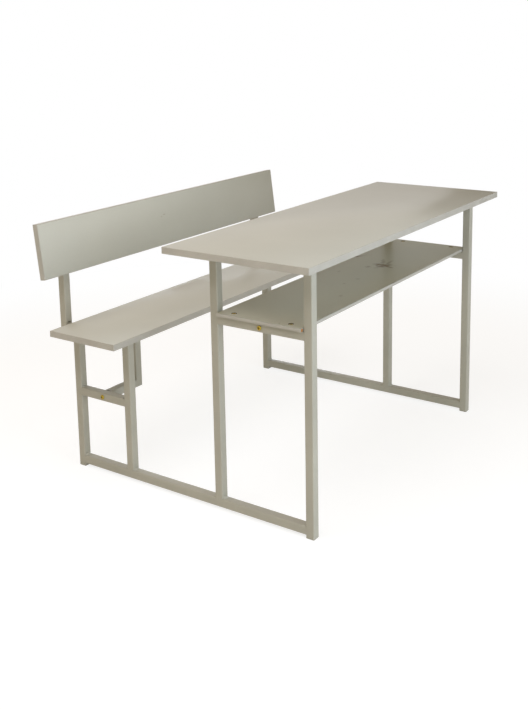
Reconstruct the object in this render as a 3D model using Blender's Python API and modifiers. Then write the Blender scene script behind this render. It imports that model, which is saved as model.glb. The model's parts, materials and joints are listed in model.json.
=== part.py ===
"""School desk and bench on one frame.

Two welded side frames of square steel tube stand on four plugged feet. Bolted stretchers join them,
and they carry a laminated desktop, book shelf, seat and tilted backrest.

Metres, +Z up. X runs along the boards, -Y is the front edge of the desktop and +Y is the backrest.
Left and right are those of a pupil on the bench, so right is -X. Inside the parent empty, y = 0 is the
front face of the desk's front legs. The empty moves the whole piece, so that the world origin lies on
the floor under the middle of its bounding box.
"""

import math

import bmesh
import bpy
from mathutils import Euler, Matrix, Vector

# Clearance between pieces that touch, and how far a cutter runs past what it cuts
FIT_GAP = 0.0003
CUT_OVERRUN = 0.002
WELD_DISTANCE = 0.00001

# Desktop, seat and backrest are cut to one length; their ends pass the side frames' outer faces
BOARD_LENGTH = 1.200
BOARD_END_OVERHANG = 0.090

# Desktop
DESK_HEIGHT = 0.750
DESKTOP_DEPTH = 0.450
DESKTOP_THICKNESS = 0.018
DESKTOP_FRONT_OVERHANG = 0.048

# Seat
SEAT_HEIGHT = 0.450
SEAT_DEPTH = 0.250
SEAT_THICKNESS = 0.018
SEAT_FRONT_OVERHANG = 0.030

# Backrest; the lift is from the top of the seat to the board's lower front edge
BACKREST_HEIGHT = 0.164
BACKREST_THICKNESS = 0.018
BACKREST_LIFT = 0.149
BACKREST_TILT = math.radians(7)

# Book shelf; its height is that of its top, and its ends pass the side frames' outer faces
SHELF_HEIGHT = 0.568
SHELF_THICKNESS = 0.009
SHELF_END_OVERHANG = 0.010
SHELF_LEG_CLEARANCE = 0.0015
SHELF_CORNER = 0.003

# Band glued round the edges of the desktop, the seat and the backrest
EDGE_BAND = 0.001

# Square tube
TUBE_SIDE = 0.025
TUBE_WALL = 0.0012
TUBE_CORNER = 0.003

# Side frames, measured over the outer faces of their legs
DESK_FRAME_DEPTH = 0.318
BENCH_FRAME_DEPTH = 0.220
AISLE = 0.300
FLOOR_RAIL_LIFT = 0.009
BENCH_RAIL_HEIGHT = 0.227

# Backrest uprights: they stand behind the seat and bend back just under the backrest
UPRIGHT_SETBACK = 0.025
UPRIGHT_BEND_RADIUS = 0.100
UPRIGHT_BEND_DROP = 0.005
UPRIGHT_TOP_DROP = 0.015

# Stretchers: the end plate takes the bolt, and a post's inset is from the side frame's outer face
STRETCHER_PLATE = 0.005
BENCH_POST_INSET = 0.138

# Plastic plugs in the open ends of the feet and uprights
PLUG_FLANGE = 0.003
PLUG_DEPTH = 0.012

# Frame bolts, pan head with a cross recess
BOLT_RADIUS = 0.003
BOLT_HEAD_RADIUS = 0.0065
BOLT_HEAD_HEIGHT = 0.0045
BOLT_LENGTH = 0.040

# Shelf screws, countersunk with a cross recess; the sink is the wider hole round the head
SHELF_SCREW_RADIUS = 0.002
SHELF_SCREW_HEAD_RADIUS = 0.0052
SHELF_SCREW_RIM = 0.0006
SHELF_SCREW_LENGTH = 0.022
SHELF_SCREW_SINK_RADIUS = 0.0066
SHELF_SCREW_SINK_DEPTH = 0.0008
SHELF_SCREW_INSET = 0.045

# Board screws, pan head, driven through a tube into a board
BOARD_SCREW_RADIUS = 0.0022
BOARD_SCREW_HEAD_RADIUS = 0.0042
BOARD_SCREW_HEAD_HEIGHT = 0.0026
BOARD_SCREW_BITE = 0.012
DESKTOP_SCREW_INSET = 0.060
SEAT_SCREW_INSET = 0.045
BACKREST_SCREW_INSET = 0.040

# Cross recess, as shares of its screw's head
RECESS_SPAN_SHARE = 1.1
RECESS_SLOT_SHARE = 0.28
RECESS_TIP_SHARE = 0.7
RECESS_DEPTH_SHARE = 0.55
TIP_SHARE = 1.2

# How finely round shapes are drawn
CORNER_STEPS = 3
INNER_CORNER_STEPS = 1
BEND_STEPS = 3
TURN_STEPS = 12
DOME_STEPS = 2

# Places worked out from the sizes above
FRAME_WIDTH = BOARD_LENGTH - 2 * BOARD_END_OVERHANG
FRAME_X = (FRAME_WIDTH - TUBE_SIDE) / 2
DESK_REAR_FACE = DESK_FRAME_DEPTH
BENCH_FRONT_FACE = DESK_REAR_FACE + AISLE
BENCH_REAR_FACE = BENCH_FRONT_FACE + BENCH_FRAME_DEPTH
DESK_FRONT_LEG_Y = TUBE_SIDE / 2
DESK_REAR_LEG_Y = DESK_REAR_FACE - TUBE_SIDE / 2
BENCH_FRONT_LEG_Y = BENCH_FRONT_FACE + TUBE_SIDE / 2
BENCH_REAR_LEG_Y = BENCH_REAR_FACE - TUBE_SIDE / 2
DESK_MIDDLE_Y = DESK_FRAME_DEPTH / 2
BENCH_MIDDLE_Y = (BENCH_FRONT_FACE + BENCH_REAR_FACE) / 2
SEAT_FRONT_Y = BENCH_FRONT_FACE - SEAT_FRONT_OVERHANG
SEAT_REAR_Y = SEAT_FRONT_Y + SEAT_DEPTH
UPRIGHT_Y = max(SEAT_REAR_Y, BENCH_REAR_FACE) + UPRIGHT_SETBACK + TUBE_SIDE / 2

DESKTOP_UNDERSIDE = DESK_HEIGHT - DESKTOP_THICKNESS
SEAT_UNDERSIDE = SEAT_HEIGHT - SEAT_THICKNESS
SHELF_UNDERSIDE = SHELF_HEIGHT - SHELF_THICKNESS
FLOOR_RAIL_Z = FLOOR_RAIL_LIFT + TUBE_SIDE / 2
FLOOR_RAIL_TOP = FLOOR_RAIL_LIFT + TUBE_SIDE
DESK_TOP_RAIL_Z = DESKTOP_UNDERSIDE - FIT_GAP - TUBE_SIDE / 2
SEAT_RAIL_Z = SEAT_UNDERSIDE - FIT_GAP - TUBE_SIDE / 2
DESK_MID_RAIL_Z = SHELF_UNDERSIDE - FIT_GAP - TUBE_SIDE / 2
BENCH_MID_RAIL_Z = BENCH_RAIL_HEIGHT + TUBE_SIDE / 2

# The backrest's own frame starts at the board's lower rear edge and leans back with it
BACKREST_FOOT_Z = SEAT_HEIGHT + BACKREST_LIFT - BACKREST_THICKNESS * math.sin(BACKREST_TILT)
BEND_FACE_RADIUS = UPRIGHT_BEND_RADIUS + TUBE_SIDE / 2
BACKREST_FOOT_Y = (
    UPRIGHT_Y
    + UPRIGHT_BEND_RADIUS
    - BEND_FACE_RADIUS * math.cos(BACKREST_TILT)
    + UPRIGHT_BEND_DROP * math.sin(BACKREST_TILT)
)
BEND_START_Z = (
    BACKREST_FOOT_Z
    - UPRIGHT_BEND_DROP * math.cos(BACKREST_TILT)
    - BEND_FACE_RADIUS * math.sin(BACKREST_TILT)
)
UPRIGHT_TOP = BACKREST_HEIGHT - UPRIGHT_TOP_DROP

# Front and rear of the whole piece, whose middle goes over the world origin
FRONT_Y = min(-DESKTOP_FRONT_OVERHANG, 0)
REAR_Y = max(
    BACKREST_FOOT_Y + TUBE_SIDE * math.cos(BACKREST_TILT) + UPRIGHT_TOP * math.sin(BACKREST_TILT),
    BACKREST_FOOT_Y + BACKREST_HEIGHT * math.sin(BACKREST_TILT),
    DESKTOP_DEPTH - DESKTOP_FRONT_OVERHANG,
)
MIDDLE_Y = (FRONT_Y + REAR_Y) / 2

SIDES = (("right", -1), ("left", 1))
ALONG_Y = Euler((-math.pi / 2, 0, 0))
ALONG_X = Euler((0, math.pi / 2, 0))
UPWARD = Euler((0, 0, 0))


def clear_scene():
    for obj in list(bpy.data.objects):
        bpy.data.objects.remove(obj, do_unlink=True)


def new_collection(name):
    collection = bpy.data.collections.new(name)
    bpy.context.scene.collection.children.link(collection)
    return collection


def new_empty(name, parent=None, location=(0, 0, 0), rotation=UPWARD):
    empty = bpy.data.objects.new(name, None)
    empty.parent = parent
    empty.location = location
    empty.rotation_euler = rotation
    PARTS.objects.link(empty)
    return empty


def new_material(name, colour, roughness, metallic=0.0):
    material = bpy.data.materials.new(name)
    material.use_nodes = True
    shader = material.node_tree.nodes["Principled BSDF"]
    shader.inputs["Base Color"].default_value = (*colour, 1)
    shader.inputs["Roughness"].default_value = roughness
    shader.inputs["Metallic"].default_value = metallic
    return material


def add_piece(name, mesh, material, location=(0, 0, 0), rotation=UPWARD, parent=None):
    """One named piece, placed in the frame of its parent empty."""
    if not mesh.materials:
        mesh.materials.append(material)
    piece = bpy.data.objects.new(name, mesh)
    piece.parent = parent or ORIGIN
    piece.location = location
    piece.rotation_euler = rotation
    PARTS.objects.link(piece)
    return piece


def baked_mesh(obj):
    """The object's evaluated mesh, as a new mesh with no double vertices; the object is removed."""
    depsgraph = bpy.context.evaluated_depsgraph_get()
    mesh = bpy.data.meshes.new_from_object(obj.evaluated_get(depsgraph))
    mesh.name = obj.name
    bpy.data.objects.remove(obj)
    bm = bmesh.new()
    bm.from_mesh(mesh)
    bmesh.ops.remove_doubles(bm, verts=bm.verts, dist=WELD_DISTANCE)
    bm.to_mesh(mesh)
    bm.free()
    return mesh


def rounded_outline(width, depth, radius, steps=CORNER_STEPS):
    """Corners of a rectangle round the origin, each drawn as an arc."""
    points = []
    for corner in range(4):
        middle_turn = math.pi / 2 * corner + math.pi / 4
        centre_x = math.copysign(width / 2 - radius, math.cos(middle_turn))
        centre_y = math.copysign(depth / 2 - radius, math.sin(middle_turn))
        for step in range(steps + 1):
            turn = math.pi / 2 * (corner + step / steps)
            points.append((centre_x + radius * math.cos(turn), centre_y + radius * math.sin(turn)))
    return points


def tube_inside(gap=0):
    """Outline of the inside of the tube, or of what slides into it with a gap all round."""
    side = TUBE_SIDE - 2 * (TUBE_WALL + gap)
    return rounded_outline(side, side, max(TUBE_CORNER - TUBE_WALL, TUBE_WALL), INNER_CORNER_STEPS)


def square_outline(width, depth):
    """Four sharp corners of a rectangle round the origin."""
    half_x = width / 2
    half_y = depth / 2
    return [(half_x, half_y), (-half_x, half_y), (-half_x, -half_y), (half_x, -half_y)]


def prism_mesh(name, outlines, length):
    """A prism from z = 0 to its length; every outline after the first is a hole through it."""
    curve = bpy.data.curves.new(name, "CURVE")
    curve.dimensions = "2D"
    curve.fill_mode = "BOTH"
    curve.extrude = length / 2
    for outline in outlines:
        spline = curve.splines.new("POLY")
        spline.points.add(len(outline) - 1)
        for point, (x, y) in zip(spline.points, outline):
            point.co = (x, y, 0, 1)
        spline.use_cyclic_u = True
    guide = bpy.data.objects.new(name, curve)
    PARTS.objects.link(guide)
    mesh = baked_mesh(guide)
    mesh.transform(Matrix.Translation((0, 0, length / 2)))
    return mesh


def tube_mesh(name, length, start_slope=(0, 0), end_slope=(0, 0)):
    """Square tube along +Z. A slope is a mitre: how far the end moves on for each unit of x and y."""
    outside = rounded_outline(TUBE_SIDE, TUBE_SIDE, TUBE_CORNER)
    mesh = prism_mesh(name, [outside, tube_inside()], length)
    for vertex in mesh.vertices:
        slope = end_slope if vertex.co.z > length / 2 else start_slope
        vertex.co.z += slope[0] * vertex.co.x + slope[1] * vertex.co.y
    return mesh


def bend_tube(mesh, start, angle, radius):
    """Bends a tube that runs along +Z back towards +Y; the radius is that of its middle line."""
    bm = bmesh.new()
    bm.from_mesh(mesh)
    arc = angle * radius
    for step in range(BEND_STEPS + 1):
        everything = bm.verts[:] + bm.edges[:] + bm.faces[:]
        height = start + arc * step / BEND_STEPS
        bmesh.ops.bisect_plane(bm, geom=everything, plane_co=(0, 0, height), plane_no=(0, 0, 1))
    for vertex in bm.verts:
        along = vertex.co.z - start
        if along > 0:
            turn = min(along / radius, angle)
            past = max(along - arc, 0)
            reach = radius - vertex.co.y
            vertex.co.y = radius - reach * math.cos(turn) + past * math.sin(turn)
            vertex.co.z = start + reach * math.sin(turn) + past * math.cos(turn)
    bm.to_mesh(mesh)
    bm.free()


def combined(name, base, other, operation):
    """The mesh left by one Boolean between two meshes."""
    first = bpy.data.objects.new(name, base)
    second = bpy.data.objects.new(name + "_tool", other)
    PARTS.objects.link(first)
    PARTS.objects.link(second)
    boolean = first.modifiers.new("boolean", "BOOLEAN")
    boolean.operation = operation
    boolean.object = second
    mesh = baked_mesh(first)
    bpy.data.objects.remove(second)
    return mesh


def drill(piece, holes, parent=None):
    """Cuts round holes, each given as its start, its direction, its length and its radius."""
    bm = bmesh.new()
    for start, direction, length, radius in holes:
        axis = Vector(direction).normalized()
        middle = Vector(start) + axis * (length / 2)
        turn = Vector((0, 0, 1)).rotation_difference(axis).to_matrix().to_4x4()
        bmesh.ops.create_cone(
            bm,
            cap_ends=True,
            segments=TURN_STEPS,
            radius1=radius,
            radius2=radius,
            depth=length,
            matrix=Matrix.Translation(middle) @ turn,
        )
    mesh = bpy.data.meshes.new(piece.name + "_drill")
    bm.to_mesh(mesh)
    bm.free()
    cutter = bpy.data.objects.new(piece.name + "_drill", mesh)
    cutter.parent = parent or ORIGIN
    cutter.hide_render = True
    cutter.display_type = "WIRE"
    CUTTERS.objects.link(cutter)
    boolean = piece.modifiers.new("drill", "BOOLEAN")
    boolean.operation = "DIFFERENCE"
    boolean.object = cutter


def upright_tube(name, x, y, bottom, top):
    return add_piece(name, tube_mesh(name, top - bottom), PAINT, (x, y, bottom), UPWARD)


def rail_between(name, x, z, front, rear):
    """A rail along Y between two faces, with the fit gap at both."""
    length = rear - front - 2 * FIT_GAP
    return add_piece(name, tube_mesh(name, length), PAINT, (x, front + FIT_GAP, z), ALONG_Y)


def add_legs(side, x):
    """The outer legs stand on the plugs in their feet, and the inner ones on the floor rail."""
    foot = PLUG_FLANGE + FIT_GAP
    on_rail = FLOOR_RAIL_TOP + FIT_GAP
    under_desktop = DESKTOP_UNDERSIDE - FIT_GAP
    under_seat = SEAT_UNDERSIDE - FIT_GAP
    under_seat_rail = SEAT_RAIL_Z - TUBE_SIDE / 2 - FIT_GAP
    upright_tube(side + "_desk_front_leg", x, DESK_FRONT_LEG_Y, foot, under_desktop)
    upright_tube(side + "_desk_rear_leg", x, DESK_REAR_LEG_Y, on_rail, under_desktop)
    upright_tube(side + "_bench_front_leg", x, BENCH_FRONT_LEG_Y, on_rail, under_seat)
    upright_tube(side + "_bench_rear_leg", x, BENCH_REAR_LEG_Y, foot, under_seat_rail)


def add_floor_rail(side, x):
    rail_between(side + "_floor_rail", x, FLOOR_RAIL_Z, TUBE_SIDE, BENCH_REAR_FACE - TUBE_SIDE)


def add_desk_top_rail(side, x):
    rear = DESK_REAR_FACE - TUBE_SIDE
    rail = rail_between(side + "_desk_top_rail", x, DESK_TOP_RAIL_Z, TUBE_SIDE, rear)
    drill(rail, [tube_hole((x, y, DESK_TOP_RAIL_Z), (0, 0, 1)) for y in desktop_screw_places()])


def add_desk_mid_rail(side, x):
    """It carries the shelf on screws through its top wall, and takes the desk stretcher's bolt."""
    rear = DESK_REAR_FACE - TUBE_SIDE
    rail = rail_between(side + "_desk_mid_rail", x, DESK_MID_RAIL_Z, TUBE_SIDE, rear)
    holes = [bolt_hole(x, DESK_MIDDLE_Y, DESK_MID_RAIL_Z)]
    for y in shelf_screw_places():
        start = (x, y, DESK_MID_RAIL_Z)
        depth = TUBE_SIDE / 2 + CUT_OVERRUN
        holes.append((start, (0, 0, 1), depth, SHELF_SCREW_RADIUS + FIT_GAP))
    drill(rail, holes)


def add_bench_mid_rail(side, x):
    front = BENCH_FRONT_FACE + TUBE_SIDE
    rear = BENCH_REAR_FACE - TUBE_SIDE
    rail = rail_between(side + "_bench_mid_rail", x, BENCH_MID_RAIL_Z, front, rear)
    drill(rail, [bolt_hole(x, BENCH_MIDDLE_Y, BENCH_MID_RAIL_Z)])


def add_seat_rail(side, x):
    """It runs over the rear leg and back to the upright, where the two are mitred together."""
    name = side + "_seat_rail"
    front = BENCH_FRONT_FACE + TUBE_SIDE + FIT_GAP
    mesh = tube_mesh(name, UPRIGHT_Y - FIT_GAP - front, end_slope=(0, 1))
    rail = add_piece(name, mesh, PAINT, (x, front, SEAT_RAIL_Z), ALONG_Y)
    drill(rail, [tube_hole((x, y, SEAT_RAIL_Z), (0, 0, 1)) for y in seat_screw_places()])


def add_backrest_upright(side, x):
    name = side + "_backrest_upright"
    past_bend = UPRIGHT_BEND_DROP + UPRIGHT_TOP - PLUG_FLANGE - FIT_GAP
    arc = BACKREST_TILT * UPRIGHT_BEND_RADIUS
    bend_start = BEND_START_Z - SEAT_RAIL_Z
    mesh = tube_mesh(name, bend_start + arc + past_bend, start_slope=(0, -1))
    bend_tube(mesh, bend_start, BACKREST_TILT, UPRIGHT_BEND_RADIUS)
    upright = add_piece(name, mesh, PAINT, (x, UPRIGHT_Y, SEAT_RAIL_Z), UPWARD)
    holes = [tube_hole((x, TUBE_SIDE / 2, z), (0, 1, 0)) for z in backrest_screw_places()]
    drill(upright, holes, BACKREST_FRAME)


def tube_hole(middle, direction):
    """A board screw's hole through both walls of a tube."""
    length = TUBE_SIDE + 2 * CUT_OVERRUN
    start = Vector(middle) - Vector(direction) * (length / 2)
    return (start, direction, length, BOARD_SCREW_RADIUS + FIT_GAP)


def bolt_hole(x, y, z):
    """A frame bolt's hole through both side walls of a mid rail."""
    start = (x - TUBE_SIDE / 2 - CUT_OVERRUN, y, z)
    return (start, (1, 0, 0), TUBE_SIDE + 2 * CUT_OVERRUN, BOLT_RADIUS + FIT_GAP)


def desktop_screw_places():
    front = TUBE_SIDE + DESKTOP_SCREW_INSET
    return (front, DESK_REAR_FACE - front)


def shelf_screw_places():
    front = TUBE_SIDE + SHELF_SCREW_INSET
    return (front, DESK_REAR_FACE - front)


def seat_screw_places():
    inset = TUBE_SIDE + SEAT_SCREW_INSET
    return (BENCH_FRONT_FACE + inset, BENCH_REAR_FACE - inset)


def backrest_screw_places():
    return (BACKREST_SCREW_INSET, BACKREST_HEIGHT - BACKREST_SCREW_INSET)


def add_side_frame(side, x):
    add_legs(side, x)
    add_floor_rail(side, x)
    add_desk_top_rail(side, x)
    add_desk_mid_rail(side, x)
    add_bench_mid_rail(side, x)
    add_seat_rail(side, x)
    add_backrest_upright(side, x)


def plug_mesh():
    """A flange the size of the tube, with a boss that slides into it."""
    flange = prism_mesh("flange", [rounded_outline(TUBE_SIDE, TUBE_SIDE, TUBE_CORNER)], PLUG_FLANGE)
    boss = prism_mesh("boss", [tube_inside(FIT_GAP)], PLUG_DEPTH + PLUG_FLANGE / 2)
    boss.transform(Matrix.Translation((0, 0, PLUG_FLANGE / 2)))
    return combined("plug", flange, boss, "UNION")


def add_plugs():
    mesh = plug_mesh()
    upside_down = Euler((math.pi, 0, 0))
    for side, sign in SIDES:
        x = sign * FRAME_X
        add_piece(side + "_desk_foot_plug", mesh, PLASTIC, (x, DESK_FRONT_LEG_Y, 0))
        add_piece(side + "_bench_foot_plug", mesh, PLASTIC, (x, BENCH_REAR_LEG_Y, 0))
        top = (x, TUBE_SIDE / 2, UPRIGHT_TOP)
        add_piece(side + "_upright_plug", mesh, PLASTIC, top, upside_down, BACKREST_FRAME)


def plated_tube_mesh(name, length, plate_at_end, end_slope=(0, 0)):
    """A stretcher tube along +Z with a welded plate inside its start, and inside its end if asked."""
    bar = prism_mesh(name, [rounded_outline(TUBE_SIDE, TUBE_SIDE, TUBE_CORNER)], length)
    for vertex in bar.vertices:
        if vertex.co.z > length / 2:
            vertex.co.z += end_slope[0] * vertex.co.x + end_slope[1] * vertex.co.y
    void_end = length - STRETCHER_PLATE if plate_at_end else length + TUBE_SIDE
    void = prism_mesh(name + "_void", [tube_inside()], void_end - STRETCHER_PLATE)
    void.transform(Matrix.Translation((0, 0, STRETCHER_PLATE)))
    return combined(name, bar, void, "DIFFERENCE")


def plate_hole(sign, y, z):
    """The tapped hole in a stretcher's end plate, open from the plate's outer side."""
    start = (sign * (FRAME_WIDTH / 2 - TUBE_SIDE + CUT_OVERRUN), y, z)
    return (start, (-sign, 0, 0), STRETCHER_PLATE + 2 * CUT_OVERRUN, BOLT_RADIUS + FIT_GAP)


def add_desk_stretcher():
    """A straight tube between the desk's mid rails, with a bolt plate in each end."""
    start = -FRAME_WIDTH / 2 + TUBE_SIDE + FIT_GAP
    mesh = plated_tube_mesh("desk_stretcher", -2 * start, True)
    place = (start, DESK_MIDDLE_Y, DESK_MID_RAIL_Z)
    stretcher = add_piece("desk_stretcher", mesh, PAINT, place, ALONG_X)
    drill(stretcher, [plate_hole(sign, DESK_MIDDLE_Y, DESK_MID_RAIL_Z) for _, sign in SIDES])


def add_bench_stretcher():
    """Arms run in from the mid rails, posts rise from them, and a beam joins the posts under the seat."""
    arm_start = FRAME_WIDTH / 2 - TUBE_SIDE - FIT_GAP
    post_x = FRAME_WIDTH / 2 - BENCH_POST_INSET - TUBE_SIDE / 2
    for side, sign in SIDES:
        name = side + "_bench_stretcher_arm"
        mesh = plated_tube_mesh(name, arm_start - post_x - FIT_GAP, False, end_slope=(1, 0))
        inward = ALONG_X if sign < 0 else Euler((0, math.pi / 2, math.pi))
        place = (sign * arm_start, BENCH_MIDDLE_Y, BENCH_MID_RAIL_Z)
        arm = add_piece(name, mesh, PAINT, place, inward)
        drill(arm, [plate_hole(sign, BENCH_MIDDLE_Y, BENCH_MID_RAIL_Z)])
        name = side + "_bench_stretcher_post"
        rise = SEAT_RAIL_Z - BENCH_MID_RAIL_Z - FIT_GAP
        mesh = tube_mesh(name, rise, start_slope=(sign, 0), end_slope=(sign, 0))
        add_piece(name, mesh, PAINT, (sign * post_x, BENCH_MIDDLE_Y, BENCH_MID_RAIL_Z))
    beam = tube_mesh("bench_stretcher_beam", 2 * (post_x - FIT_GAP), (1, 0), (-1, 0))
    place = (FIT_GAP - post_x, BENCH_MIDDLE_Y, SEAT_RAIL_Z)
    add_piece("bench_stretcher_beam", beam, PAINT, place, ALONG_X)


def board_meshes(name, depth, thickness):
    """A board's core and the band round its four edges; together they have the board's size."""
    inset = 2 * (EDGE_BAND + FIT_GAP)
    core = prism_mesh(name, [square_outline(BOARD_LENGTH - inset, depth - inset)], thickness)
    outer = square_outline(BOARD_LENGTH, depth)
    inner = square_outline(BOARD_LENGTH - 2 * EDGE_BAND, depth - 2 * EDGE_BAND)
    band = prism_mesh(name + "_edge_band", [outer, inner], thickness)
    return core, band


def pilot_hole(start, direction):
    """The blind hole that a board screw cuts, from just outside the board's face."""
    depth = BOARD_SCREW_BITE + CUT_OVERRUN + FIT_GAP
    inward = Vector(direction)
    return (Vector(start) - inward * CUT_OVERRUN, direction, depth, BOARD_SCREW_RADIUS + FIT_GAP)


def add_desktop():
    core, band = board_meshes("desktop", DESKTOP_DEPTH, DESKTOP_THICKNESS)
    place = (0, DESKTOP_DEPTH / 2 - DESKTOP_FRONT_OVERHANG, DESKTOP_UNDERSIDE)
    board = add_piece("desktop", core, LAMINATE, place)
    add_piece("desktop_edge_band", band, BAND, place)
    drill(board, board_holes(desktop_screw_places(), DESKTOP_UNDERSIDE))


def add_seat():
    core, band = board_meshes("seat", SEAT_DEPTH, SEAT_THICKNESS)
    place = (0, SEAT_FRONT_Y + SEAT_DEPTH / 2, SEAT_UNDERSIDE)
    board = add_piece("seat", core, LAMINATE, place)
    add_piece("seat_edge_band", band, BAND, place)
    drill(board, board_holes(seat_screw_places(), SEAT_UNDERSIDE))


def board_holes(places, underside):
    """Pilot holes in the underside of a level board, over the middle of each side frame."""
    holes = []
    for y in places:
        for _, sign in SIDES:
            holes.append(pilot_hole((sign * FRAME_X, y, underside), (0, 0, 1)))
    return holes


def add_backrest():
    """The board stands in its own leaning frame, with its rear face against the uprights."""
    core, band = board_meshes("backrest", BACKREST_HEIGHT, BACKREST_THICKNESS)
    upright = Euler((math.pi / 2, 0, 0))
    place = (0, -FIT_GAP, BACKREST_HEIGHT / 2)
    board = add_piece("backrest", core, LAMINATE, place, upright, BACKREST_FRAME)
    add_piece("backrest_edge_band", band, BAND, place, upright, BACKREST_FRAME)
    holes = []
    for z in backrest_screw_places():
        for _, sign in SIDES:
            holes.append(pilot_hole((sign * FRAME_X, -FIT_GAP, z), (0, -1, 0)))
    drill(board, holes, BACKREST_FRAME)


def add_shelf():
    """It lies on the mid rails between the desk's legs, and its ends pass the frames."""
    length = FRAME_WIDTH + 2 * SHELF_END_OVERHANG
    depth = DESK_FRAME_DEPTH - 2 * (TUBE_SIDE + SHELF_LEG_CLEARANCE)
    mesh = prism_mesh("shelf", [rounded_outline(length, depth, SHELF_CORNER)], SHELF_THICKNESS)
    shelf = add_piece("book_shelf", mesh, SHELF_LAMINATE, (0, DESK_MIDDLE_Y, SHELF_UNDERSIDE))
    shank_start = SHELF_UNDERSIDE - CUT_OVERRUN
    shank_depth = SHELF_THICKNESS + 2 * CUT_OVERRUN
    cone_depth = SHELF_SCREW_HEAD_RADIUS - SHELF_SCREW_RADIUS
    sink_floor = SHELF_HEIGHT - SHELF_SCREW_SINK_DEPTH - SHELF_SCREW_RIM - cone_depth - FIT_GAP
    shanks = []
    sinks = []
    for y in shelf_screw_places():
        for _, sign in SIDES:
            x = sign * FRAME_X
            shank = (x, y, shank_start)
            shanks.append((shank, (0, 0, 1), shank_depth, SHELF_SCREW_RADIUS + FIT_GAP))
            sink_depth = SHELF_HEIGHT - sink_floor + CUT_OVERRUN
            sinks.append(((x, y, sink_floor), (0, 0, 1), sink_depth, SHELF_SCREW_SINK_RADIUS))
    drill(shelf, shanks)
    drill(shelf, sinks)


def pan_head_profile(head_radius, head_height, radius, length):
    """From the dome's top down the outer side to the tip; z = 0 is the seat of the head."""
    shoulder = head_height / 2
    profile = []
    for step in range(DOME_STEPS + 1):
        turn = math.pi / 2 * step / DOME_STEPS
        rise = shoulder + (head_height - shoulder) * math.cos(turn)
        profile.append((head_radius * math.sin(turn), rise))
    tip = radius * TIP_SHARE
    return profile + [(head_radius, 0), (radius, 0), (radius, tip - length), (0, -length)]


def countersunk_profile(head_radius, rim, radius, length):
    """From the flat top down the outer side to the tip; z = 0 is the top of the head."""
    cone_foot = -rim - (head_radius - radius)
    tip = radius * TIP_SHARE
    sides = [(head_radius, 0), (head_radius, -rim), (radius, cone_foot)]
    return [(0, 0)] + sides + [(radius, tip - length), (0, -length)]


def turned_mesh(name, profile):
    mesh = bpy.data.meshes.new(name)
    points = [(x, 0, z) for x, z in profile]
    mesh.from_pydata(points, [(i, i + 1) for i in range(len(points) - 1)], [])
    guide = bpy.data.objects.new(name, mesh)
    PARTS.objects.link(guide)
    turn = guide.modifiers.new("turn", "SCREW")
    turn.steps = TURN_STEPS
    turn.render_steps = TURN_STEPS
    turn.use_merge_vertices = True
    turn.merge_threshold = WELD_DISTANCE
    return baked_mesh(guide)


def recessed_mesh(name, profile, head_radius, head_height, head_top):
    """A turned screw with a cross cut into the top of its head."""
    span = head_radius * RECESS_SPAN_SHARE
    slot = head_radius * RECESS_SLOT_SHARE
    depth = head_height * RECESS_DEPTH_SHARE
    reach = span / 2
    inner = slot / 2
    tip = inner * RECESS_TIP_SHARE
    cross = []
    for cosine, sine in ((1, 0), (0, 1), (-1, 0), (0, -1)):
        for x, y in ((reach, -tip), (reach, tip), (inner, inner)):
            cross.append((x * cosine - y * sine, x * sine + y * cosine))
    tool = prism_mesh(name + "_recess", [cross], depth + CUT_OVERRUN)
    tool.transform(Matrix.Translation((0, 0, head_top - depth)))
    return combined(name, turned_mesh(name, profile), tool, "DIFFERENCE")


def add_frame_bolts():
    """Each runs in from a mid rail's outer face and through it into a stretcher's end plate."""
    profile = pan_head_profile(BOLT_HEAD_RADIUS, BOLT_HEAD_HEIGHT, BOLT_RADIUS, BOLT_LENGTH)
    mesh = recessed_mesh(
        "frame_bolt", profile, BOLT_HEAD_RADIUS, BOLT_HEAD_HEIGHT, BOLT_HEAD_HEIGHT
    )
    places = (("desk", DESK_MIDDLE_Y, DESK_MID_RAIL_Z), ("bench", BENCH_MIDDLE_Y, BENCH_MID_RAIL_Z))
    for side, sign in SIDES:
        for group, y, z in places:
            x = sign * (FRAME_WIDTH / 2 + FIT_GAP)
            outward = Euler((0, sign * math.pi / 2, 0))
            add_piece(f"{side}_{group}_frame_bolt", mesh, YELLOW_ZINC, (x, y, z), outward)


def add_shelf_screws():
    profile = countersunk_profile(
        SHELF_SCREW_HEAD_RADIUS, SHELF_SCREW_RIM, SHELF_SCREW_RADIUS, SHELF_SCREW_LENGTH
    )
    head_height = SHELF_SCREW_RIM + SHELF_SCREW_HEAD_RADIUS - SHELF_SCREW_RADIUS
    mesh = recessed_mesh("shelf_screw", profile, SHELF_SCREW_HEAD_RADIUS, head_height, 0)
    for side, sign in SIDES:
        for row, y in zip(("front", "rear"), shelf_screw_places()):
            place = (sign * FRAME_X, y, SHELF_HEIGHT - SHELF_SCREW_SINK_DEPTH)
            add_piece(f"{side}_{row}_shelf_screw", mesh, YELLOW_ZINC, place)


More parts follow.
